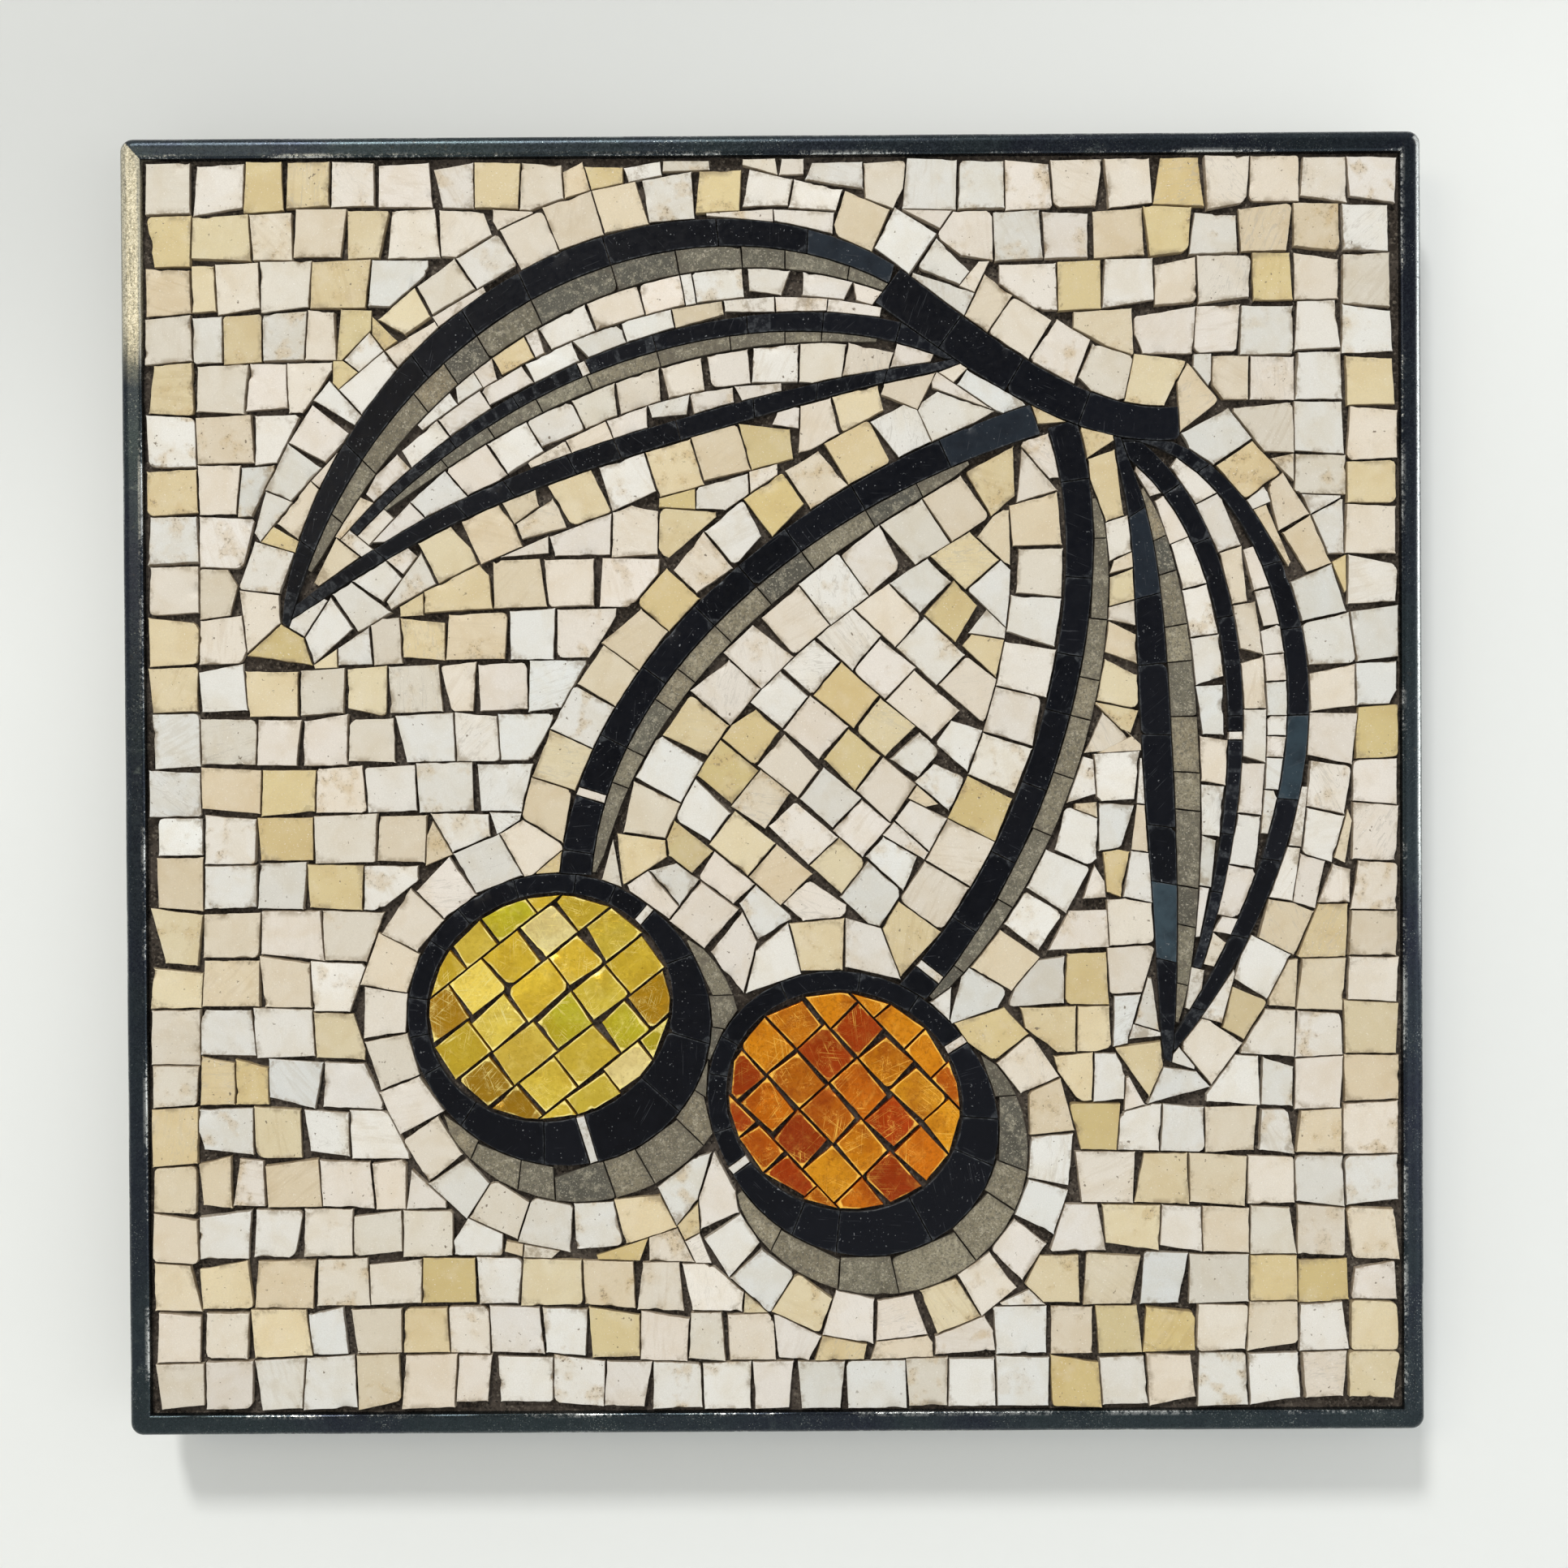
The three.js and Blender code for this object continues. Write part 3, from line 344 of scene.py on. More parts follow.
def bezier(p):
    out = []
    for i in range(161):
        t = i / 160
        s = 1 - t
        w = [s * s * s, 3 * s * s * t, 3 * s * t * t, t * t * t]
        out.append((w[0] * p[0][0] + w[1] * p[1][0] + w[2] * p[2][0] + w[3] * p[3][0], w[0] * p[0][1] + w[1] * p[1][1] + w[2] * p[2][1] + w[3] * p[3][1]))
    return out


def resample(line, step, closed=False):
    pts = list(line) + [line[0]] if closed else list(line)
    cum = [0.0]
    for i in range(1, len(pts)):
        cum.append(cum[i - 1] + dist(pts[i], pts[i - 1]))
    total = cum[-1]
    n = max(2, floor(total / step + 0.5))
    out, j = [], 0
    for i in range(n + 1):
        s = total * i / n
        while j < len(cum) - 2 and cum[j + 1] < s:
            j += 1
        out.append(mix(pts[j], pts[j + 1], (s - cum[j]) / ((cum[j + 1] - cum[j]) or 1)))
    if closed:
        out.pop()
    return out


def normal_at(pts, i, closed=False):
    n = len(pts)
    a = pts[(i - 1 + n) % n] if closed else pts[max(0, i - 1)]
    b = pts[(i + 1) % n] if closed else pts[min(n - 1, i + 1)]
    d = unit(sub(b, a))
    return (-d[1], d[0])


def strip(left, right, mat, own, size, closed=False, joint=0.16, stone=0.2, minArea=6, bars=()):
    n = len(left) if closed else len(left) - 1
    per = max(1, floor(size / STEP + 0.5))

    def at(r, k):
        return r[k % len(r)]

    def opening(k):
        return 1.15 if (k % n) in bars else joint / 2

    for k in bars:
        L, R = at(left, k), at(right, k)
        m, d, h = mix(L, R, 0.5), unit(sub(L, R)), dist(L, R) / 2
        w = (-d[1], d[0])
        poly = [add(add(m, d, -h), w, -0.95), add(add(m, d, -h + 0.1), w, 0.9), add(add(m, d, h - 0.1), w, 1.0), add(add(m, d, h), w, -0.85)]
        lay(flat(Cell(poly).poly), "white", own=own, gap=0.15, stone=0.15, minArea=4, minThick=0.8)
    i = 0
    while i < n:
        more = 1 if rnd() < 0.3 else 0
        less = 1 if (rnd() < 0.3 and per > 2) else 0
        k = min(n - i, per + more - less)
        for b in bars:
            if i < b < i + k:
                k = b - i
        if n - i - k == 1 and (n - 1) not in bars:
            k += 1
        L = [at(left, i + m) for m in range(k + 1)]
        R = [at(right, i + m) for m in range(k + 1)]

        def ends(q, a, b, w):
            return mix(q[a], q[b], min(0.45, w / (dist(q[b], q[a]) or 1)))

        w0, w1 = opening(i), opening(i + k)
        l0, r0, l1, r1 = ends(L, 0, 1, w0), ends(R, 0, 1, w0), ends(L, k, k - 1, w1), ends(R, k, k - 1, w1)
        L[0], R[0], L[k], R[k] = l0, r0, l1, r1
        cells = []
        for m in range(k):
            q = [R[m], R[m + 1], L[m + 1], L[m]]
            if area(q) > 0.05:
                cells.append(Cell(q))
        if cells:
            lay(dict(outline=R + L[::-1], cells=cells), mat, own=own, gap=joint, stone=stone, minArea=minArea, minThick=1.0)
        i += k


def stroke(line, half, mat, own, size, bars=()):
    pts = resample(line, STEP)
    n = len(pts) - 1
    L, R = [], []
    for i in range(n + 1):
        h, m = half(i / n), normal_at(pts, i)
        L.append(add(pts[i], m, h))
        R.append(add(pts[i], m, -h))
    strip(L, R, mat, own, size, bars=bars)


def on_fruit(f, th, off):
    n = unit((cos(th) / f["a"], sin(th) / f["b"]))
    return add(f["c"], turn(add((f["a"] * cos(th), f["b"] * sin(th)), n, off), f["tilt"]))


def ring_weight(f, th):
    w = cos(th - (f["sun"] + 180 - f["tilt"]) * math.pi / 180)
    return f["ring"] + f["heavy"] * swell((w + 0.25) / 1.25, 1.6)


def lay_fruit(f):
    N = floor(math.pi * (f["a"] + f["b"] + 6) / STEP + 0.5)

    def ring(off):
        r = []
        for i in range(N):
            th = TAU * i / N
            r.append(on_fruit(f, th, ring_weight(f, th) if off is None else off))
        return r

    rim, ux, uy = Cell(ring(-0.1)), turn((1, 0), f["grid"]), turn((0, 1), f["grid"])
    R = (f["a"] + f["b"]) / 2 + 0.8
    rows = floor(2 * R / 9.7 + 0.5)
    h = 2 * R / rows
    for r in range(rows):
        y0 = -R + r * h
        y1 = y0 + h
        ym = 0 if y0 * y1 < 0 else min(abs(y0), abs(y1))
        half = sqrt(max(4, R * R - ym * ym))
        n = max(1, floor(2 * half / 10.3 + 0.5))
        w = 2 * half / n
        x = -half - 2 + jit(1.0)
        for k in range(n):
            xe = half + 4 if k == n - 1 else -half + w * (k + 1) + jit(1.1)
            skew = jit(0.4)
            q = [(x + 0.18, y0 + 0.2 + jit(0.1)), (xe - 0.18, y0 + 0.2 + jit(0.1)), (xe - 0.18 + skew, y1 - 0.2 + jit(0.1)), (x + 0.18 + skew, y1 - 0.2 + jit(0.1))]
            x = xe
            poly = [add(add(f["c"], ux, p[0]), uy, p[1]) for p in q]
            for m, d in rim.edges:
                poly = clip(poly, (-m[0], -m[1]), -(d - 0.25))
                if not poly:
                    break
            if poly:
                lay(flat(poly), f["name"], gap=0.32, minArea=6, minThick=1.5)
    strip(ring(None), ring(0.25), "black", "s-ring-" + f["name"], 15, closed=True, bars=f["bars"])
    a0, a1 = f["sun"] + 180 - f["tilt"] - 82, f["sun"] + 180 - f["tilt"] + 78
    M = floor((f["a"] + 16) * (a1 - a0) * math.pi / 180 / STEP + 0.5)
    f["inner"], f["outer"] = [], []
    for i in range(M + 1):
        th = (a0 + (a1 - a0) * i / M) * math.pi / 180
        w = ring_weight(f, th) + 0.22
        f["inner"].append(on_fruit(f, th, w))
        f["outer"].append(on_fruit(f, th, w + 0.9 + 8.4 * swell(sin(math.pi * i / M), 0.7)))


def shade_stem(s):
    pts = resample(bezier(s["line"]), STEP)
    n = len(pts) - 1
    A, B = [], []
    for i in range(floor(n * s["lo"] + 0.5), floor(n * s["hi"] + 0.5) + 1):
        m = normal_at(pts, i)
        g = swell(sin(math.pi * min(1, max(0, (i / n - s["lo"]) / (s["hi"] - s["lo"])))), 0.45)
        A.append(add(pts[i], m, s["side"] * (s["half"] - 0.2)))
        B.append(add(pts[i], m, s["side"] * (s["half"] + 0.9 + s["shade"] * g)))
    strip(B, A, "grey", "s-shade-" + s["name"], 13)


class Leaf:
    def __init__(self, o):
        self.spine = resample(bezier(o["spine"]), STEP)
        self.n = n = len(self.spine) - 1
        form = lambda t: swell(sin(math.pi * swell(t, 0.82)), 0.85)
        self.up = [-o["back"] * form(i / n) for i in range(n + 1)]
        self.lo = [o["wide"] * form(i / n) for i in range(n + 1)]
        self.shape = self.rail(lambda t, i: self.up[i]) + self.rail(lambda t, i: self.lo[i])[::-1]

    def at_i(self, i, off):
        return add(self.spine[i], normal_at(self.spine, i), off)

    def at(self, s, off):
        x = max(0, min(self.n - 1e-6, s * self.n))
        i = floor(x)
        return mix(self.at_i(i, off), self.at_i(i + 1, off), x - i)

    def rail(self, f, lo=0, hi=None):
        hi = self.n if hi is None else hi
        return [self.at_i(i, f(i / self.n, i)) for i in range(lo, hi + 1)]


def lay_leaf(lf, li):
    n, own = lf.n, "s-leaf%d" % li
    near = lambda q: floor(n * q + 0.5)
    up, lo = lf.up, lf.lo
    fat = lambda t: 1.6 + 5.2 * swell(sin(math.pi * t), 0.6)
    thin = lambda t: 1.6 + 3.2 * swell(sin(math.pi * t), 0.6)
    strip(lf.rail(lambda t, i: up[i] + fat(t)), lf.rail(lambda t, i: up[i]), "black", own + "back", 19)
    strip(lf.rail(lambda t, i: lo[i]), lf.rail(lambda t, i: lo[i] - thin(t)), "black", own + "front", 19)
    shade = lambda t: 0.7 + 5.4 * swell(sin(math.pi * (t - 0.10) / 0.83), 0.6)
    strip(lf.rail(lambda t, i: up[i] + fat(t) + 0.2 + shade(t), near(0.10), near(0.93)), lf.rail(lambda t, i: up[i] + fat(t) + 0.2, near(0.10), near(0.93)), "grey", own + "shade", 13)
    rib = lambda t: 2.5 * (1 - 0.7 * t)
    bow = lambda t: 3.0 * sin(math.pi * t)
    strip(lf.rail(lambda t, i: bow(t) + rib(t), near(0.0), near(0.86)), lf.rail(lambda t, i: bow(t) - rib(t), near(0.0), near(0.86)), "black", own + "rib", 18, bars=[near(0.5)])
    if li == 0:
        g = lambda t: 0.7 + 2.9 * swell(sin(math.pi * (t - 0.12) / 0.68), 0.6)
        strip(lf.rail(lambda t, i: bow(t) + rib(t) + 0.2 + g(t), near(0.12), near(0.80)), lf.rail(lambda t, i: bow(t) + rib(t) + 0.2, near(0.12), near(0.80)), "grey", own + "ribshade", 13)


leaves = []


def lay_figure():
    stroke(bezier(TWIG), lambda t: 4.8 - 1.1 * t, "black", "s-twig", 16)
    for f in FRUITS:
        lay_fruit(f)
    for s in STEMS:
        stroke(bezier(s["line"]), lambda t: s["half"] - 0.5 * sin(math.pi * t), "black", "s-stem-" + s["name"], 18, bars=s["bars"])
    for s in STEMS:
        shade_stem(s)
    for f in FRUITS:
        strip(f["outer"], f["inner"], "grey", "s-shade-" + f["name"], 12)
    for o in LEAVES:
        leaves.append(Leaf(o))
    for li, lf in enumerate(leaves):
        lay_leaf(lf, li)


figure = Chequer(24)


def figure_distance(x):
    m = 40
    for r in (12, 40):
        for c in figure.near(x, r):
            if dist(c.c, x) - c.r <= m:
                m = min(m, cell_distance(c, x))
        if m < r:
            return m
    return m


def mark_figure():
    def put(p):
        if area(p) > 0.1:
            figure.put(Cell(p))

    for t in tesserae:
        for c in t["cells"]:
            put(c.poly)
    for lf in leaves:
        n = lf.n
        for i in range(n):
            put([lf.at(i / n, lf.up[i]), lf.at(i / n, lf.lo[i]), lf.at((i + 1) / n, lf.lo[i + 1]), lf.at((i + 1) / n, lf.up[i + 1])])
    for f in FRUITS:
        put([on_fruit(f, TAU * i / 20, 0) for i in range(20)])


def tone(w):
    r = rnd()
    return "white" if r < w[0] else "cream" if r < w[0] + w[1] else "yellow"


GROUND, ROUND, INSIDE, LEAF = (0.43, 0.37), (0.46, 0.38), (0.42, 0.42), (0.78, 0.19)


def trace(start, sign):
    level, e = COURSE / 2 + 0.35, 0.4
    D = figure_distance
    slope = lambda x: unit((D((x[0] + e, x[1])) - D((x[0] - e, x[1])), D((x[0], x[1] + e)) - D((x[0], x[1] - e))))
    x = start
    g = slope(x)
    for k in range(4):
        x = add(x, g, (level - D(x)) * 0.9)
        g = slope(x)
    out = [x]
    d0 = (-g[1] * sign, g[0] * sign)
    for i in range(4000):
        d = (-g[1] * sign, g[0] * sign)
        if d[0] * d0[0] + d[1] * d0[1] < -0.2:
            d = d0
        d0 = d
        x = add(x, d, 0.8)
        g = slope(x)
        x = add(x, g, (level - D(x)) * 0.9)
        x = add(x, g, (level - D(x)) * 0.6)
        out.append(x)
        if i > 20 and dist(x, out[0]) < 0.9:
            break
    return out


def lay_course(line, size, mix_of, row):
    pts = resample(line, size, True)
    n = len(pts)
    for i in range(n):
        j = (i + 1) % n
        na, nb = normal_at(pts, i, True), normal_at(pts, j, True)
        g = 0.1 + 0.45 * rnd() * rnd()
        h = 0.1 + 0.45 * rnd() * rnd()
        d = unit(sub(pts[j], pts[i]))
        a, b = add(pts[i], d, g), add(pts[j], d, -h)
        q = COURSE / 2 + jit(0.5)
        s = COURSE / 2 + 1.4
        poly = [add(a, na, -s), add(b, nb, -s), add(b, nb, q), add(a, na, q + jit(0.4))]
        gap = 0.2 + 0.35 * rnd()
        m = tone(mix_of)
        if area(poly) > 10:
            lay(flat(Cell(poly).poly), m, gap=gap, minArea=16, row=row)


def lay_rows(angle, height, size, lo, hi, start_s, end_s, free, mix_of, name):
    ux, uy = turn((1, 0), angle), turn((0, 1), angle)

    def P(s, t):
        w = t + 0.8 * sin(s / 31 + t / 40 + 1.3) + 0.45 * sin(s / 17 - t / 23)
        return (ux[0] * s + uy[0] * w, ux[1] * s + uy[1] * w)

    count = max(1, floor((hi - lo) / height + 0.5))
    h = (hi - lo) / count
    for r in range(count):
        t0 = lo + r * h
        t1 = t0 + h
        runs, start = [], None
        s = start_s
        while s <= end_s + 1.5:
            ok = 0
            if s <= end_s:
                for k in (0.18, 0.5, 0.82):
                    if free(P(s, t0 + h * k)):
                        ok += 1
            if ok >= 2 and start is None:
                start = s
            if ok < 2 and start is not None:
                runs.append((start, s - 1))
                start = None
            s += 1
        for a, b in runs:
            n = max(1, floor((b - a + 1) / (size + jit(0.5)) + 0.5))
            w = (b - a + 1) / n
            x, tight, lean = a - 0.5, 0, 0
            for k in range(n):
                xe = b + 0.5 if k == n - 1 else a + w * (k + 1) + jit(1.3)
                close = rnd() < 0.45 and tight < 2
                nxt = jit(0.45)
                tight = tight + 1 if close else 0
                gl = -1.6 if k == 0 else 0.1
                gr = -1.6 if k == n - 1 else (0.1 if close else 0.3 + 0.8 * rnd())
                b0 = 0.15 + 0.5 * rnd()
                b1 = 0.15 + 0.5 * rnd()
                c0 = 0.15 + 0.5 * rnd()
                c1 = 0.15 + 0.5 * rnd()
                poly = [P(x + gl + lean + jit(0.1), t0 + b0), P(xe - gr + nxt + jit(0.3), t0 + b1), P(xe - gr - nxt + jit(0.3), t1 - c1), P(x + gl - lean + jit(0.1), t1 - c0)]
                lean = nxt
                gap = 0.14 + 0.3 * rnd() * rnd()
                tag = name + "%d.%d" % (r, floor(a))
                m, m2 = tone(mix_of), tone(mix_of)
                if lay(flat(poly), m, gap=gap, minArea=17, row=tag):
                    lay(flat(poly), m2, gap=gap, minArea=20, minThick=3.2, row=tag)
                x = xe


def fill_leaf(lf, li):
    top, bot = max(lf.lo), min(lf.up)
    rows = floor((top - bot) / 9.4 + 0.5)
    h = (top - bot) / rows
    length = lf.n * STEP
    n = floor(length / 11.5 + 0.5)
    for r in range(rows):
        for k in range(n):
            off = (r % 2) * 0.5 / n
            s0, s1, t0 = k / n + off, (k + 1) / n + off, bot + r * h
            t1, g = t0 + h, 0.14 / length
            i = min(lf.n, max(0, floor((s0 + s1) / 2 * lf.n + 0.5)))
            if t1 < lf.up[i] + 3 or t0 > lf.lo[i] - 3:
                continue
            S = lambda s, t: lf.at(max(0, min(1, s)), t)
            poly = Cell([S(s0 + g, t0 + 0.15), S(s1 - g, t0 + 0.15), S(s1 - g, t1 - 0.15), S(s0 + g, t1 - 0.15)]).poly
            if area(poly) < 4:
                continue
            gap = 0.14 + 0.2 * rnd()
            m, m2 = tone(LEAF), tone(LEAF)
            tag = "leaf%d.%d" % (li, r)
            if lay(flat(poly), m, gap=gap, stone=0.25, minArea=10, minThick=1.9, row=tag):
                lay(flat(poly), m2, gap=gap, stone=0.25, minArea=12, minThick=1.9, row=tag)


def lay_chips():
    def nearest(p):
        m, e = 12, None
        for c in laid.near(p, 12):
            if dist(c.c, p) - c.r > m:
                continue
            d = cell_distance(c, p)
            if d < m:
                m, e = d, c
        return m, e

    for _ in range(2):
        spots = []
        for i in range(162):
            for j in range(162):
                p = (-HALF + 1 + j * (2 * HALF - 2) / 161, -HALF + 1 + i * (2 * HALF - 2) / 161)
                inside = False
                for c in laid.near(p, 0.01):
                    if cell_distance(c, p) < 0.6:
                        inside = True
                        break
                if inside:
                    continue
                w = min(nearest(p)[0], HALF - abs(p[0]) + 0.5, HALF - abs(p[1]) + 0.5)
                if w > 1.3:
                    spots.append((w, p, len(spots)))
        spots.sort(key=lambda q: (-q[0], q[2]))
        done = []
        for w, p, _k in spots:
            if any(dist(q, p) < 4.2 for q in done):
                continue
            done.append(p)
            m, e = nearest(p)
            if m < 1.15:
                continue
            d, best = (1, 0), 1e9
            if e:
                for i in range(len(e.poly)):
                    a, b = e.poly[i], e.poly[(i + 1) % len(e.poly)]
                    q = dist(mix(a, b, 0.5), p)
                    if dist(a, b) > 2 and q < best:
                        best, d = q, unit(sub(b, a))
            v, r = (-d[1], d[0]), min(5.6, w + 2.6)
            l = r + 1.2 + rnd() * 1.6
            poly = [add(add(p, d, -l), v, -r), add(add(p, d, l), v, -r), add(add(p, d, l), v, r), add(add(p, d, -l), v, r)]
            leafy = any(within(lf.shape, p) for lf in leaves)
            lay(flat(Cell(poly).poly), tone((1, 0)) if leafy else tone(GROUND), gap=0.22, stone=0.22, minArea=5, minThick=1.6, row="chip")


def lay_ground():
    mark_figure()
    for li, lf in enumerate(leaves):
        fill_leaf(lf, li)
    s = -HALF
    while figure_distance((s, 30)) > COURSE / 2 + 0.35:
        s += 0.5
    outer, inner = trace((s, 30), -1), trace((10, 10), 1)
    lay_course(outer, 11.2, ROUND, "outer")
    lay_course(inner, 11.2, ROUND, "inner")
    far, outer_line, inner_line = COURSE + 0.5, resample(outer, 4, True), resample(inner, 4, True)
    outside = lambda p: not within(outer_line, p)
    lay_rows(-41, 10.7, 11.2, -105, 105, -110, 110, lambda p: within(inner_line, p) and figure_distance(p) > far, INSIDE, "mid")
    border = lambda p: outside(p) and figure_distance(p) > far - 1.5
    lay_rows(0, PITCH, CELL, HALF - PITCH, HALF, -HALF, HALF, border, GROUND, "top")
    lay_rows(0, PITCH, CELL, -HALF, -HALF + PITCH, -HALF, HALF, border, GROUND, "foot")
    lay_rows(90, PITCH, CELL, HALF - PITCH, HALF, -HALF + PITCH, HALF - PITCH, border, GROUND, "left")
    lay_rows(90, PITCH, CELL, -HALF, -HALF + PITCH, -HALF + PITCH, HALF - PITCH, border, GROUND, "right")
    lay_rows(90, PITCH, CELL, -HALF + PITCH, -HALF + 2 * PITCH, -HALF + PITCH, HALF - PITCH, border, GROUND, "rightb")
    rest = lambda p: outside(p) and figure_distance(p) > far and p[0] > -HALF + PITCH and p[0] < HALF - 2 * PITCH and abs(p[1]) < HALF - PITCH
    lay_rows(0, PITCH, CELL, -HALF + PITCH, HALF - PITCH, -HALF + PITCH, HALF - 2 * PITCH, rest, GROUND, "g")
    lay_chips()


lay_figure()
lay_ground()

# ---------------------------------------------------------------- the joints as laid: most stones touch, some leave a wedge
def crossing(l0, l1):
    (n0, d0), (n1, d1) = l0, l1
    det = n0[0] * n1[1] - n0[1] * n1[0]
    if abs(det) < 0.30:
        return None
    return ((d0 * n1[1] - d1 * n0[1]) / det, (n0[0] * d1 - n1[0] * d0) / det)


def moved(poly, i, da, db):
    """a convex outline with its side i moved out by da at its start and db at its end"""
    n = len(poly)
    a, b = poly[i], poly[(i + 1) % n]
    l = dist(a, b)
    out = ((b[1] - a[1]) / l, -(b[0] - a[0]) / l)
    a2, b2 = add(a, out, da), add(b, out, db)
    line = sides([a2, b2])[0]
    before, after = sides([poly[i - 1], a])[0], sides([b, poly[(i + 2) % n]])[0]
    p, q = crossing(before, line), crossing(line, after)
    if p is None or q is None or dist(p, a) > 2.4 or dist(q, b) > 2.4:
        return None
    new = list(poly)
    new[i], new[(i + 1) % n] = p, q
    for k in range(n):
        u, v, w = new[k - 1], new[k], new[(k + 1) % n]
        if (v[0] - u[0]) * (w[1] - v[1]) - (v[1] - u[1]) * (w[0] - v[0]) < 0.02:
            return None
        if dist(u, v) < 0.5:
            return None
    return new


def spread(t, r):
    if len(t["cells"]) != 1:
        return
    cell, poly = t["cells"][0], t["outline"]
    near = [c for c in laid.near(cell.c, cell.r + 3.0) if c is not cell]
    hair = 0.04 + 0.16 * r.random()

    def fits(p):
        if max(max(abs(q[0]), abs(q[1])) for q in p) > HALF + 0.45:
            return False
        k = Cell(p)
        return not any(touching(k, c, hair) for c in near)

    order = list(range(len(poly)))
    r.shuffle(order)
    for i in order:
        what = r.random()
        for s in (1.5, 1.15, 0.9, 0.7, 0.52, 0.38, 0.26, 0.16, 0.08):
            if what < 0.46:
                da = db = s
            elif what < 0.63:
                da, db = s, s * (0.6 * r.random() - 0.5)
            elif what < 0.80:
                da, db = s * (0.6 * r.random() - 0.5), s
            else:
                break
            p = moved(poly, i, da, db)
            if p and fits(p):
                poly = p
                break
    for _ in range(r.choice((0, 0, 0, 1, 1, 1, 2))):      # sides broken off askew leave dark wedges
        i = r.randrange(len(poly))
        d = -0.6 - 1.4 * r.random()
        p = moved(poly, i, *((d, 0.0) if r.random() < 0.5 else (0.0, d)))
        if p and area(p) > 0.72 * area(poly):
            poly = p
    t["outline"] = poly
    new = Cell(poly)
    cell.poly, cell.edges, cell.c, cell.r = new.poly, new.edges, new.c, new.r


def halved(t, r):
    """a stone too long for its course is laid as two"""
    poly = t["outline"]
    a, c = max(((p, q) for p in poly for q in poly), key=lambda s: dist(*s))
    c0 = middle(poly)
    best = None
    for i in range(len(poly)):                                   # along its longest side
        u, v = poly[i], poly[(i + 1) % len(poly)]
        if best is None or dist(u, v) > dist(*best):
            best = (u, v)
    ax = unit(sub(best[1], best[0]))
    reach_x = [ax[0] * (p[0] - c0[0]) + ax[1] * (p[1] - c0[1]) for p in poly]
    if max(reach_x) - min(reach_x) < 14.9 or area(poly) < 120:
        return [t]
    n = turn(ax, r.gauss(0, 3.0))
    d = n[0] * c0[0] + n[1] * c0[1] + r.gauss(0, 0.7)
    out = []
    for m, e in ((n, d + 0.15), ((-n[0], -n[1]), -d + 0.15)):
        p = tidy(clip(poly, m, e))
        cell = Cell(p)
        cell.own = t["own"] + str(len(out))
        out.append(dict(t, outline=cell.poly, cells=[cell]))
    return out


def replace_halved(r):
    new = []
    for t in tesserae:
        if t["mat"] in ("white", "cream", "yellow") and not t["strip"] and len(t["cells"]) == 1:
            parts = halved(t, r)
            if len(parts) == 2:
                old = t["cells"][0]
                for box in laid.boxes.values():
                    if old in box:
                        box.remove(old)
                for k, q in enumerate(parts):
                    laid.put(q["cells"][0])
                    if k:
                        q["mat"] = r.choice(("white", "cream", "white", "cream", "yellow"))
                new += parts
                continue
        new.append(t)
    tesserae[:] = new


joints = random.Random(23)
replace_halved(joints)
stones = [t for t in tesserae if t["mat"] in ("white", "cream", "yellow") and not t["strip"] and area(t["outline"]) > 14]
joints.shuffle(stones)
for t in stones:
    spread(t, joints)


def faceted(poly, tol):
    """an outline with its shallow curves made into straight cuts"""
    def run(pts):
        if len(pts) < 3:
            return pts
        a, c = pts[0], pts[-1]
        l = dist(a, c) or 1e-9
        far, at = 0, 0
        for i in range(1, len(pts) - 1):
            d = abs((c[0] - a[0]) * (a[1] - pts[i][1]) - (a[0] - pts[i][0]) * (c[1] - a[1])) / l
            if d > far:
                far, at = d, i
        return [a, c] if far < tol else run(pts[:at + 1])[:-1] + run(pts[at:])
    i, j = max(((i, j) for i in range(len(poly)) for j in range(i)), key=lambda s: dist(poly[s[0]], poly[s[1]]))
    return run(poly[j:i + 1])[:-1] + run(poly[i:] + poly[:j + 1])[:-1]


for t in tesserae:                           # leaf glass is cut straight, with open joints here and there
    if t["mat"] in ("gold", "amber"):
        poly = faceted(t["outline"], 0.5)
        for i in range(len(poly)):
            if len(poly) > 3 and joints.random() < 0.42:
                d = -0.15 - 0.75 * joints.random()
                p = moved(poly, i, *((d, 0.0) if joints.random() < 0.5 else (0.0, d)))
                if p and area(p) > 0.82 * area(t["outline"]):
                    poly = p
        t["outline"] = poly

# ---------------------------------------------------------------- cut tesserae as meshes
rng = random.Random(7)
BED_Y = FRAME_HI.y / MM - BED_THICK          # front of the mortar, mm (negative)
FRONT_LIMIT = -FRAME_LO.y / MM - 0.12        # nothing on the bed stands past this


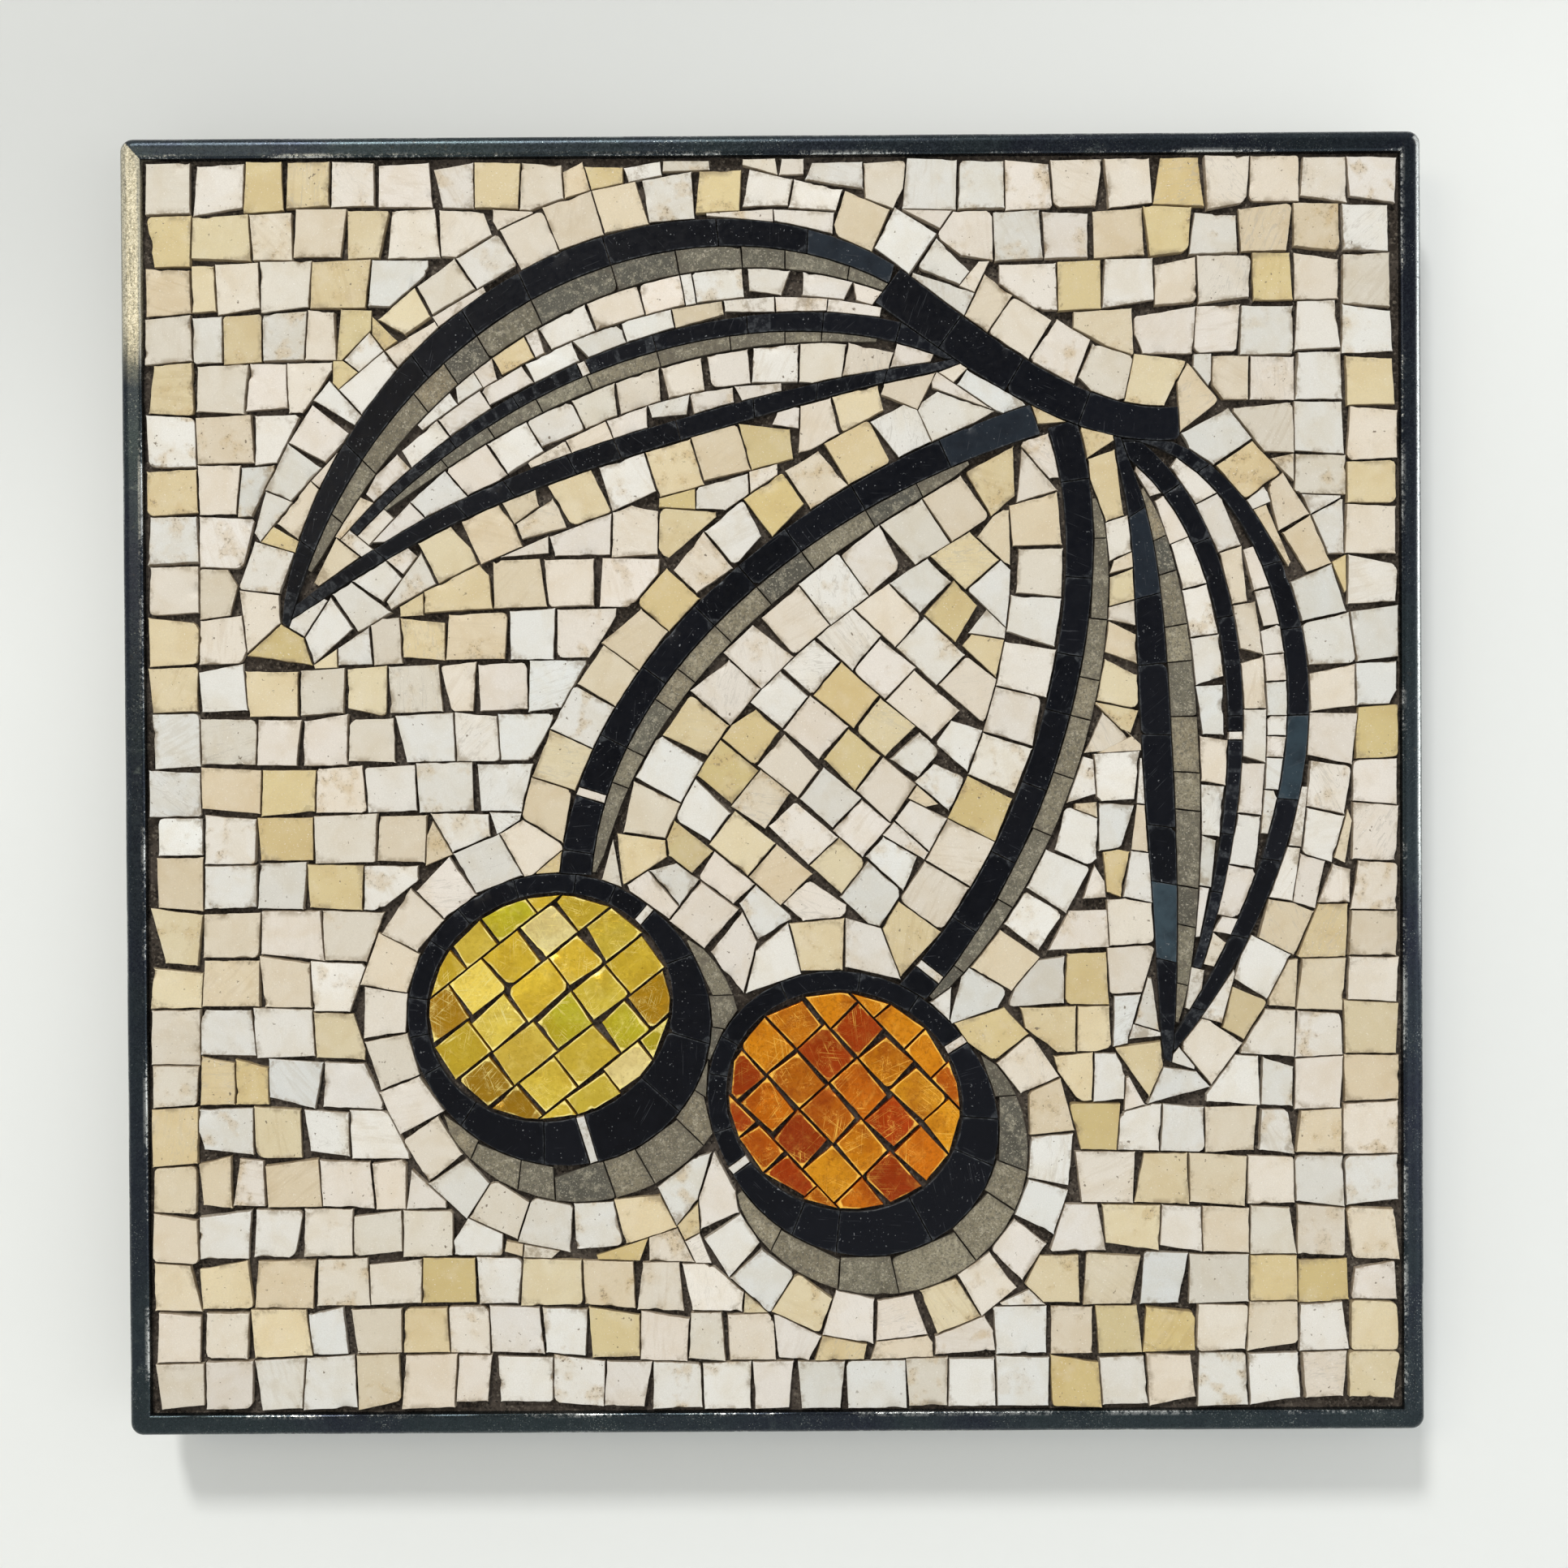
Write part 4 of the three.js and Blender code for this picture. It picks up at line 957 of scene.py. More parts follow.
class Batch:
    """many small closed meshes gathered into one object, with per-tessera values on its points"""

    def __init__(self, name):
        self.name, self.v, self.f, self.tone, self.seed, self.edge, self.smooth = name, [], [], [], [], [], []

    def add(self, verts, faces, tone, seed, edge, flats=None):
        base = len(self.v)
        self.v += verts
        self.f += [tuple(base + i for i in f) for f in faces]
        self.tone += [tone] * len(verts)
        self.seed += [seed] * len(verts)
        self.edge += edge
        self.smooth += [True] * len(faces) if flats is None else flats

    def make(self, material, sharp=24):
        me = bpy.data.meshes.new(self.name)
        me.from_pydata(self.v, [], self.f)
        for name, kind, data in (("tone", "FLOAT_COLOR", self.tone), ("seed", "FLOAT_VECTOR", self.seed), ("edge", "FLOAT", self.edge)):
            at = me.attributes.new(name, kind, "POINT")
            at.data.foreach_set({"FLOAT_COLOR": "color", "FLOAT_VECTOR": "vector", "FLOAT": "value"}[kind], np.array(data, dtype=np.float32).ravel())
        me.polygons.foreach_set("use_smooth", np.array(self.smooth, dtype=bool))
        me.update()
        if sharp:
            me.set_sharp_from_angle(angle=math.radians(sharp))
        ob = bpy.data.objects.new(self.name, me)
        bpy.context.scene.collection.objects.link(ob)
        me.materials.append(material)
        return ob


def perimeter(outline, step):
    """points round an outline, with each one's inward normal and how sharp the corner there is"""
    pts, corner = [], []
    n = len(outline)
    for i in range(n):
        a, b = outline[i], outline[(i + 1) % n]
        k = max(1, round(dist(a, b) / step))
        for j in range(k):
            pts.append(mix(a, b, j / k))
            corner.append(j == 0)
    m = len(pts)
    nor, sharp = [], []
    for i in range(m):
        d0, d1 = unit(sub(pts[i], pts[i - 1])), unit(sub(pts[(i + 1) % m], pts[i]))
        t = unit((d0[0] + d1[0], d0[1] + d1[1]))
        nor.append((-t[1], t[0]))
        turnby = d0[0] * d1[1] - d0[1] * d1[0]
        sharp.append(max(0.0, turnby) if corner[i] else 0.0)
    return pts, nor, sharp


def wobble(r, count, terms, fall):
    """a smooth closed random line round a perimeter, about -1 to 1"""
    out = np.zeros(count)
    x = np.arange(count) / count * TAU
    tot = 0.0
    for k in range(1, terms + 1):
        a = 1.0 / (k ** fall)
        tot += a * a / 2
        out += a * np.sin(k * x + r.random() * TAU)
    return out / math.sqrt(tot) * 0.5


def thickness(outline):
    return area(outline) / span(outline)


def tessera(batch, outline, top, tone_rgb, r, step=0.8, worn=0.26, rough=0.16, chips=0, tilt=1.0, dome=0.02, fill=1.9, wave=0.03, draft=0.20, crack=0.12):
    thick = thickness(outline)
    k = min(1.0, thick / 5.0)                # slivers keep their width
    step = step if thick > 3.2 else step * 0.8
    pts, nor, sharp = perimeter(outline, step)
    m = len(pts)
    c = middle(outline)
    worn, rough = worn * (0.45 + 0.55 * k), rough * k
    inset = 0.02 + rough * (0.5 + 0.5 * np.clip(wobble(r, m, min(16, m // 3 + 1), 0.75), -1, 1))
    per = sum(dist(pts[i], pts[(i + 1) % m]) for i in range(m))
    deep = np.zeros(m)                       # chips along the arris
    for _ in range(chips):
        at, width, d = r.random() * m, (0.7 + 1.5 * r.random()) / per * m, (0.25 + 0.55 * r.random()) * k
        for i in range(m):
            q = abs(i - at)
            q = min(q, m - q) / width
            if q < 1:
                deep[i] = max(deep[i], d * (1 - q * q) * (0.75 + 0.25 * r.random()))
    for j in range(m):                       # corners are sharp, and a few have broken off
        if sharp[j] < 0.25:
            continue
        broken = r.random() < crack and k == 1.0
        size = (0.5 + 0.9 * r.random()) if broken else 0.0
        inset[j] = 0.02 + 0.3 * inset[j] + 0.04 * r.random()
        for i in range(m) if broken else ():
            q = abs(i - j)
            q = min(q, m - q) * per / m / size
            if q < 1:
                inset[i] += 0.62 * size * (1 - q) * (0.8 + 0.4 * r.random())
    tx, ty = (math.tan(math.radians(r.gauss(0, tilt))) for _ in range(2))
    lean_x, lean_y = r.gauss(0, draft), r.gauss(0, draft)
    ph = [r.random() * TAU for _ in range(4)]
    rad = max(2.0, reach(outline, c))

    def height(p, extra=0.0):
        dx, dy = p[0] - c[0], p[1] - c[1]
        h = top + tx * dx + ty * dy + dome * (1 - (dx * dx + dy * dy) / (rad * rad))
        h += wave * (math.sin(dx * 0.55 + ph[0]) * math.sin(dy * 0.5 + ph[1]) + 0.5 * math.sin(dx * 1.3 + dy * 0.9 + ph[2]))
        return min(h, FRONT_LIMIT + BED_Y) + extra

    def ring(extra, drop, base=None):
        out = []
        for i in range(m):
            e = inset[i] + extra * (1 + 0.35 * (inset[i] / (rough + 0.05) - 0.5)) + deep[i] * (0.25 + 0.75 * (extra > 0.05))
            p = add(pts[i], nor[i], e)
            h = base if base is not None else height(p) - drop - deep[i] * (0.55 if extra > 0.05 else 0.9) * (1.0 if drop > 0 or extra > 0.05 else 0)
            out.append((p, h))
        return out

    rings = [
        [((p[0] + lean_x, p[1] + lean_y), -1.1) for p, h in ring(-0.02, 0, -1.1)],
        ring(0.0, worn * 1.15),
        ring(worn * 0.30, worn * 0.42),
        ring(worn, 0.0),
    ]
    verts, edge = [], []
    for j, rg in enumerate(rings):
        for p, h in rg:
            verts.append((p[0] * MM, (BED_Y - h) * MM, p[1] * MM))
            edge.append((1.0, 1.0, 0.75, 0.45)[j])
    faces = []
    for j in range(len(rings) - 1):
        for i in range(m):
            a, b = j * m + i, j * m + (i + 1) % m
            faces.append((a, b, b + m, a + m))
    faces.append(tuple(reversed(range(m))))
    # the face: the worn edge, and points inside it
    loop = [Vector(p) for p, h in rings[-1]]
    lo = (min(p[0] for p in loop), min(p[1] for p in loop))
    hi = (max(p[0] for p in loop), max(p[1] for p in loop))
    poly = [tuple(p) for p in loop]
    inner = []
    rows = max(1, round((hi[1] - lo[1]) / fill))
    for a in range(rows):
        y = lo[1] + (a + 0.5) * (hi[1] - lo[1]) / rows
        cols = max(1, round((hi[0] - lo[0]) / fill))
        for b in range(cols):
            x = lo[0] + (b + 0.5 + (0.25 if a % 2 else -0.25)) * (hi[0] - lo[0]) / cols
            q = (x + 0.1 * (r.random() - 0.5), y + 0.1 * (r.random() - 0.5))
            if within(poly, q) and min(dist(q, s) for s in poly) > 0.62 * fill * min(1, k + 0.3) * 0.8:
                inner.append(q)
    top0 = 3 * m
    out_v, _e, out_f, orig, _oe, _of = delaunay_2d_cdt(loop + [Vector(q) for q in inner], [(i, (i + 1) % m) for i in range(m)], [], 1, 1e-5)
    index = []
    for i, o in enumerate(out_v):
        src = orig[i][0] if orig[i] else -1
        if 0 <= src < m:
            index.append(top0 + src)
        else:
            index.append(len(verts))
            q = (o[0], o[1])
            d = min(dist(q, s) for s in poly)
            verts.append((q[0] * MM, (BED_Y - height(q)) * MM, q[1] * MM))
            edge.append(max(0.0, 0.45 * (1 - d / 1.6)))
    for t in out_f:
        t3 = [index[i] for i in t]
        if len(set(t3)) < 3:
            continue
        a, b, d = (verts[i] for i in t3)
        if (b[0] - a[0]) * (d[2] - a[2]) - (b[2] - a[2]) * (d[0] - a[0]) < 0:
            t3.reverse()
        faces.append(tuple(t3))
    seed = (r.random() * 400, r.random() * 400, r.random() * 400)
    batch.add(verts, faces, (*tone_rgb, 1.0), seed, edge)


def lin(r, g, b):
    f = lambda c: (c / 255 / 12.92) if c / 255 <= 0.04045 else ((c / 255 + 0.055) / 1.055) ** 2.4
    return (f(r), f(g), f(b))


def vary(rgb, r, light=0.06, warm=0.02):
    l, w = 1 + r.gauss(0, light), r.gauss(0, warm)
    return tuple(max(0.0, min(1.0, v)) for v in (rgb[0] * l * (1 + w), rgb[1] * l, rgb[2] * l * (1 - w)))


TONES = {
    "white": [lin(215, 215, 210), lin(219, 216, 208), lin(219, 213, 204), lin(217, 210, 199), lin(210, 208, 200), lin(221, 219, 212)],
    "cream": [lin(216, 207, 191), lin(211, 200, 179), lin(218, 210, 196), lin(210, 203, 188), lin(209, 195, 167)],
    "yellow": [lin(206, 189, 142), lin(199, 180, 125), lin(211, 196, 157), lin(203, 184, 134), lin(212, 198, 163), lin(208, 191, 150), lin(213, 200, 166)],
    "black": [lin(8, 10, 16), lin(11, 13, 19), lin(14, 16, 22)] * 9 + [lin(33, 40, 48), lin(52, 66, 74)],
    "grey": [lin(128, 121, 101), lin(140, 131, 108), lin(114, 109, 93), lin(98, 95, 82), lin(84, 82, 72)],
    "gold": [lin(228, 194, 62), lin(222, 188, 58), lin(236, 208, 92), lin(214, 182, 50), lin(228, 200, 74), lin(226, 192, 60), lin(232, 204, 84), lin(220, 186, 54), lin(255, 238, 170), lin(224, 194, 66), lin(194, 182, 40), lin(170, 124, 18)],
    "amber": [lin(214, 132, 12), lin(196, 96, 4), lin(226, 152, 26), lin(204, 110, 6), lin(168, 60, 2)],
}

# ---------------------------------------------------------------- materials
class Graph:
    def __init__(self, name):
        self.mat = bpy.data.materials.new(name)
        self.mat.use_nodes = True
        self.nt = self.mat.node_tree
        self.nt.nodes.clear()
        self.out = self.nt.nodes.new("ShaderNodeOutputMaterial")

    def n(self, kind, **k):
        node = self.nt.nodes.new(kind)
        for a, v in k.items():
            setattr(node, a, v)
        return node

    def put(self, socket, value):
        if value is None:
            return
        if isinstance(value, bpy.types.NodeSocket):
            self.nt.links.new(value, socket)
        elif isinstance(value, (tuple, list)) and len(value) == 3 and socket.type == "RGBA":
            socket.default_value = (*value, 1.0)
        else:
            socket.default_value = value

    def attr(self, name, out="Fac"):
        return self.n("ShaderNodeAttribute", attribute_name=name).outputs[out]

    def math(self, op, a, b=None, clamp=False):
        node = self.n("ShaderNodeMath", operation=op, use_clamp=clamp)
        self.put(node.inputs[0], a)
        self.put(node.inputs[1], b)
        return node.outputs[0]

    def vmath(self, op, a, b=None, scale=None):
        node = self.n("ShaderNodeVectorMath", operation=op)
        self.put(node.inputs[0], a)
        self.put(node.inputs[1], b)
        if scale is not None:
            self.put(node.inputs["Scale"], scale)
        return node.outputs[0]

    def mixc(self, fac, a, b, blend="MIX"):
        node = self.n("ShaderNodeMix", data_type="RGBA", blend_type=blend)
        self.put(node.inputs[0], fac)
        self.put(node.inputs[6], a)
        self.put(node.inputs[7], b)
        return node.outputs[2]

    def noise(self, vec, scale, detail=4, rough=0.55, distort=0.0):
        node = self.n("ShaderNodeTexNoise")
        self.put(node.inputs["Vector"], vec)
        node.inputs["Scale"].default_value = scale
        node.inputs["Detail"].default_value = detail
        node.inputs["Roughness"].default_value = rough
        node.inputs["Distortion"].default_value = distort
        return node.outputs[0]

    def voronoi(self, vec, scale, feature="F1", out="Distance"):
        node = self.n("ShaderNodeTexVoronoi", feature=feature)
        self.put(node.inputs["Vector"], vec)
        node.inputs["Scale"].default_value = scale
        return node.outputs[out]

    def ramp(self, fac, stops):
        node = self.n("ShaderNodeMapRange", clamp=True, interpolation_type="SMOOTHSTEP")
        self.put(node.inputs[0], fac)
        (a, x), (b, y) = stops
        node.inputs[1].default_value, node.inputs[2].default_value = a, b
        node.inputs[3].default_value, node.inputs[4].default_value = x, y
        return node.outputs[0]

    def place(self, seed=True):
        """position in millimetres, shifted by each tessera's own seed"""
        p = self.vmath("SCALE", self.n("ShaderNodeTexCoord").outputs["Object"], scale=1000.0)
        return self.vmath("ADD", p, self.attr("seed", "Vector")) if seed else p

    def picks(self):
        """three numbers from 0 to 1, the same all over a tessera"""
        sx = self.n("ShaderNodeSeparateXYZ")
        self.put(sx.inputs[0], self.attr("seed", "Vector"))
        return tuple(self.math("FRACT", self.math("MULTIPLY", sx.outputs[i], k)) for i, k in enumerate((0.731, 0.517, 0.913)))

    def turned(self, vec, turns):
        """the vector turned about the panel's depth axis by a number of turns"""
        node = self.n("ShaderNodeVectorRotate", rotation_type="Y_AXIS")
        self.put(node.inputs["Vector"], vec)
        self.put(node.inputs["Angle"], self.math("MULTIPLY", turns, 6.2832))
        return node.outputs[0]

    def scaled(self, vec, by):
        return self.vmath("MULTIPLY", vec, by)

    def bump(self, height, strength, distance, base=None):
        node = self.n("ShaderNodeBump")
        self.put(node.inputs["Height"], height)
        node.inputs["Strength"].default_value = strength
        node.inputs["Distance"].default_value = distance
        if base is not None:
            self.put(node.inputs["Normal"], base)
        return node.outputs[0]

    def shade(self, **k):
        node = self.n("ShaderNodeBsdfPrincipled")
        for a, v in k.items():
            self.put(node.inputs[a.replace("_", " ")], v)
        self.nt.links.new(node.outputs[0], self.out.inputs[0])
        return node


def marble():
    g = Graph("honed_marble")
    p = g.place()
    tone_c, edge_v = g.attr("tone", "Color"), g.attr("edge")
    pick1, pick2, pick3 = g.picks()
    cloud = g.noise(p, 0.13, 4, 0.55, 0.5)
    col = g.mixc(g.ramp(cloud, ((0.40, 0.0), (0.72, 0.42))), tone_c, g.mixc(1.0, tone_c, (0.86, 0.78, 0.64), "MULTIPLY"))
    pale = g.noise(g.vmath("ADD", p, (17.0, 5.0, 41.0)), 0.20, 4, 0.6)
    col = g.mixc(g.ramp(pale, ((0.48, 0.0), (0.75, 0.30))), col, g.mixc(0.5, col, (0.80, 0.76, 0.70)))
    # bands and soft veins, each stone with its own direction
    own = g.turned(p, pick2)
    band = g.scaled(own, (0.10, 0.10, 0.75))
    bands = g.noise(band, 1.0, 2, 0.5, 0.9)
    col = g.mixc(g.math("MULTIPLY", g.ramp(bands, ((0.48, 0.0), (0.66, 1.0))), g.ramp(pick1, ((0.74, 0.0), (0.97, 0.26)))), col, g.mixc(1.0, col, (0.70, 0.62, 0.50), "MULTIPLY"))
    thin = g.noise(g.scaled(own, (0.05, 0.05, 0.30)), 1.0, 3, 0.62, 1.6)
    vein = g.ramp(g.math("ABSOLUTE", g.math("SUBTRACT", thin, 0.5)), ((0.0, 1.0), (0.022, 0.0)))
    col = g.mixc(g.math("MULTIPLY", vein, g.ramp(pick3, ((0.80, 0.0), (0.95, 0.42)))), col, (0.40, 0.37, 0.32))
    # stains: rusty or brown clouds with specks in them
    st = g.noise(g.vmath("ADD", p, (3.0, 29.0, 7.0)), 0.22, 3, 0.5)
    where = g.math("MULTIPLY", g.ramp(st, ((0.52, 0.0), (0.70, 1.0))), g.ramp(pick2, ((0.58, 0.0), (0.92, 1.0))))
    fine = g.noise(p, 1.25, 3, 0.75)
    col = g.mixc(g.math("MULTIPLY", where, 0.46), col, (0.50, 0.35, 0.15))
    col = g.mixc(g.math("MULTIPLY", where, g.ramp(fine, ((0.52, 0.0), (0.66, 0.80)))), col, (0.15, 0.105, 0.055))
    speck = g.math("MULTIPLY", g.ramp(g.noise(g.vmath("ADD", p, (60.0, 11.0, 2.0)), 0.95, 2, 0.5), ((0.705, 0.0), (0.745, 0.85))), g.ramp(pick3, ((0.25, 0.0), (0.6, 1.0))))
    col = g.mixc(speck, col, (0.13, 0.095, 0.06))
    glit = g.ramp(g.noise(p, 2.6, 2, 0.5), ((0.66, 0.0), (0.72, 0.5)))
    col = g.mixc(glit, col, (0.86, 0.84, 0.80))
    grain = g.noise(p, 4.2, 2, 0.7)
    col = g.mixc(g.ramp(grain, ((0.35, 0.16), (0.62, 0.0))), col, (0.38, 0.33, 0.26))
    # grime lies along parts of the arris; the broken sides are duller
    rim = g.ramp(edge_v, ((0.20, 0.0), (0.46, 1.0)))
    grime = g.math("MULTIPLY", rim, g.ramp(g.math("ADD", g.math("MULTIPLY", g.noise(p, 0.16, 3, 0.6), 0.66), g.math("MULTIPLY", fine, 0.34)), ((0.50, 0.03), (0.62, 0.62))))
    col = g.mixc(grime, col, (0.235, 0.175, 0.10))
    side = g.ramp(edge_v, ((0.60, 0.0), (0.95, 1.0)))
    col = g.mixc(g.math("MULTIPLY", side, g.ramp(fine, ((0.3, 0.42), (0.7, 0.80)))), col, (0.225, 0.160, 0.090))
    height = g.math("ADD", g.math("MULTIPLY", g.noise(p, 0.7, 3, 0.62), 0.8), g.math("MULTIPLY", grain, 0.20))
    height = g.math("SUBTRACT", height, g.math("MULTIPLY", speck, 0.9))
    saw = g.noise(g.scaled(own, (0.30, 1.0, 4.0)), 0.8, 1, 0.6)
    height = g.math("ADD", height, g.math("MULTIPLY", saw, 0.12))
    normal = g.bump(height, 0.26, 0.0002)
    rough = g.ramp(cloud, ((0.3, 0.42), (0.75, 0.60)))
    g.shade(Base_Color=col, Roughness=rough, Normal=normal, Specular_IOR_Level=0.38, IOR=1.5, Subsurface_Weight=0.0)
    return g.mat


def black_glass():
    g = Graph("black_glass")
    p = g.place()
    tone_c, edge_v = g.attr("tone", "Color"), g.attr("edge")
    pick1, pick2, pick3 = g.picks()
    cloud = g.noise(p, 0.25, 4, 0.6)
    col = g.mixc(g.ramp(cloud, ((0.35, 0.0), (0.8, 0.55))), tone_c, (0.0055, 0.0065, 0.010))
    fleck = g.math("MULTIPLY", g.ramp(g.noise(p, 1.9, 2, 0.5), ((0.685, 0.0), (0.73, 0.8))), g.ramp(g.noise(p, 0.16, 2), ((0.44, 0.0), (0.56, 1.0))))
    col = g.mixc(fleck, col, (0.24, 0.25, 0.26))
    hair = g.ramp(g.noise(g.scaled(g.turned(p, pick1), (0.14, 1.0, 5.0)), 0.9, 2, 0.5), ((0.68, 0.0), (0.73, 0.42)))
    col = g.mixc(hair, col, (0.085, 0.090, 0.10))
    arris = g.math("MULTIPLY", g.ramp(edge_v, ((0.38, 0.0), (0.55, 1.0))), g.ramp(g.noise(p, 0.8, 4, 0.7), ((0.42, 0.10), (0.66, 0.9))))
    col = g.mixc(arris, col, (0.115, 0.125, 0.135))
    side = g.ramp(edge_v, ((0.80, 0.0), (1.0, 0.6)))
    col = g.mixc(side, col, (0.035, 0.032, 0.028))
    height = g.math("ADD", g.noise(p, 0.45, 4, 0.55), g.math("MULTIPLY", g.noise(p, 3.0, 3, 0.6), 0.12))
    normal = g.bump(height, 0.22, 0.0003)
    rough = g.ramp(g.noise(p, 0.8, 4, 0.6), ((0.3, 0.28), (0.75, 0.46)))
    g.shade(Base_Color=col, Roughness=rough, Normal=normal, Specular_IOR_Level=0.14, IOR=1.45)
    return g.mat


def grey_stone():
    g = Graph("grey_basalt")
    p = g.place()
    tone_c, edge_v = g.attr("tone", "Color"), g.attr("edge")
    cloud = g.noise(p, 0.16, 4, 0.6)
    col = g.mixc(g.ramp(cloud, ((0.35, 0.0), (0.70, 0.55))), tone_c, g.mixc(1.0, tone_c, (0.55, 0.53, 0.49), "MULTIPLY"))
    pale = g.noise(g.vmath("ADD", p, (5.0, 23.0, 3.0)), 0.55, 5, 0.7)
    col = g.mixc(g.ramp(pale, ((0.48, 0.0), (0.66, 0.55))), col, (0.40, 0.365, 0.27))
    dark = g.ramp(g.noise(p, 1.7, 4, 0.75), ((0.47, 0.0), (0.60, 0.70)))
    col = g.mixc(dark, col, (0.085, 0.078, 0.062))
    lightf = g.ramp(g.noise(g.vmath("ADD", p, (31.0, 17.0, 9.0)), 2.4, 2, 0.6), ((0.58, 0.0), (0.68, 0.60)))
    col = g.mixc(lightf, col, (0.50, 0.46, 0.36))
    rim = g.math("MULTIPLY", g.ramp(edge_v, ((0.22, 0.0), (0.5, 1.0))), g.ramp(g.noise(p, 0.6, 4, 0.7), ((0.42, 0.1), (0.6, 0.75))))
    col = g.mixc(rim, col, (0.10, 0.085, 0.062))
    side = g.ramp(edge_v, ((0.80, 0.0), (1.0, 0.8)))
    col = g.mixc(side, col, (0.06, 0.052, 0.042))
    height = g.math("ADD", g.noise(p, 1.1, 5, 0.7), g.math("MULTIPLY", g.noise(p, 2.6, 3, 0.7), 0.35))
    normal = g.bump(height, 0.38, 0.0003)
    g.shade(Base_Color=col, Roughness=g.ramp(g.noise(p, 0.9, 3, 0.6), ((0.3, 0.5), (0.75, 0.72))), Normal=normal, Specular_IOR_Level=0.3, IOR=1.5)
    return g.mat


def leaf_glass(name, deep, bright, metal, worn):
    """leaf behind glass: the leaf's tone drifts across a piece, with creases, scratches and gilded edges"""
    g = Graph(name)
    p = g.place()
    tone_c, edge_v = g.attr("tone", "Color"), g.attr("edge")
    pick1, pick2, pick3 = g.picks()
    drift = g.noise(p, 0.085, 3, 0.55, 0.4)
    col = g.mixc(g.ramp(drift, ((0.42, 0.0), (0.68, 0.75 * worn))), tone_c, deep)
    sheen = g.noise(g.vmath("ADD", p, (7.0, 3.0, 23.0)), 0.22, 6, 0.66, 0.9)
    col = g.mixc(g.ramp(sheen, ((0.50, 0.0), (0.74, 0.62))), col, g.mixc(0.35, tone_c, bright))
    # the leaf is mottled finely
    mott = g.noise(p, 1.1, 5, 0.72)
    col = g.mixc(g.ramp(mott, ((0.46, 0.0), (0.68, 0.42 * worn))), col, g.mixc(1.0, deep, (0.72, 0.62, 0.50), "MULTIPLY"))

    def ridge(scale, width, off):
        v = g.noise(g.vmath("ADD", p, off), scale, 3, 0.6, 1.6)
        return g.ramp(g.math("ABSOLUTE", g.math("SUBTRACT", v, 0.5)), ((0.0, 1.0), (width, 0.0)))
    r1, r2 = ridge(0.33, 0.013, (0.0, 0.0, 0.0)), ridge(0.6, 0.012, (51.0, 9.0, 4.0))
    crease = g.math("MAXIMUM", g.math("MULTIPLY", r1, 0.85), g.math("MULTIPLY", r2, 0.6))
    crease = g.math("MULTIPLY", crease, g.ramp(g.noise(p, 0.4, 3), ((0.46, 0.0), (0.58, 1.0))))

    def scratches(shift, thr, off):
        q = g.scaled(g.turned(g.vmath("ADD", p, off), g.math("ADD", pick1, shift)), (0.13, 1.0, 7.0))
        return g.ramp(g.noise(q, 0.75, 1, 0.4, 0.15), ((thr, 0.0), (thr + 0.018, 1.0)))
    scr = g.math("MAXIMUM", scratches(0.0, 0.665, (0.0, 0.0, 0.0)), g.math("MAXIMUM", scratches(0.17, 0.67, (9.0, 90.0, 2.0)), scratches(0.37, 0.675, (19.0, 2.0, 70.0))))
    lines = g.math("MAXIMUM", crease, g.math("MULTIPLY", scr, g.ramp(g.noise(p, 0.25, 2), ((0.40, 0.25), (0.58, 1.0)))))
    lines = g.math("MULTIPLY", lines, g.ramp(g.noise(g.vmath("ADD", p, (80.0, 6.0, 31.0)), 0.11, 2), ((0.46, 0.10 * worn), (0.60, 0.9))))
    col = g.mixc(lines, col, bright)
    gap = g.ramp(g.noise(g.vmath("ADD", p, (3.0, 77.0, 5.0)), 0.55, 5, 0.75), ((0.64, 0.0), (0.72, 0.55)))
    col = g.mixc(gap, col, g.mixc(1.0, deep, (0.45, 0.36, 0.30), "MULTIPLY"))
    arris = g.math("MULTIPLY", g.ramp(edge_v, ((0.355, 0.0), (0.455, 1.0))), g.ramp(edge_v, ((0.80, 1.0), (0.98, 0.0))))
    gilt = g.math("MULTIPLY", arris, g.ramp(g.math("ADD", g.math("MULTIPLY", g.noise(p, 0.16, 2), 0.68), g.math("MULTIPLY", mott, 0.32)), ((0.45, 0.05), (0.58, 0.95))))
    col = g.mixc(gilt, col, bright)
    side = g.ramp(edge_v, ((0.80, 0.0), (1.0, 0.85)))
    col = g.mixc(side, col, g.mixc(1.0, deep, (0.62, 0.46, 0.40), "MULTIPLY"))
    height = g.math("ADD", g.math("MULTIPLY", g.noise(p, 0.28, 4, 0.6, 0.5), 1.5), g.math("ADD", g.math("MULTIPLY", crease, 0.35), g.math("MULTIPLY", scr, 0.2)))
    height = g.math("ADD", height, g.math("MULTIPLY", mott, 0.14))
    normal = g.bump(height, 0.46, 0.00055)
    rough = g.ramp(g.noise(p, 0.6, 4, 0.6), ((0.3, 0.30), (0.75, 0.46)))
    metallic = g.math("MULTIPLY", g.math("SUBTRACT", g.ramp(edge_v, ((0.80, 1.0), (1.0, 0.15))), g.math("MULTIPLY", gilt, 0.85), clamp=True), metal)
    s = g.shade(Base_Color=col, Roughness=rough, Normal=normal, Metallic=metallic, Specular_IOR_Level=0.25)
    s.inputs["Coat Weight"].default_value = 0.06
    s.inputs["Coat Roughness"].default_value = 0.10
    s.inputs["Coat IOR"].default_value = 1.5
    return g.mat


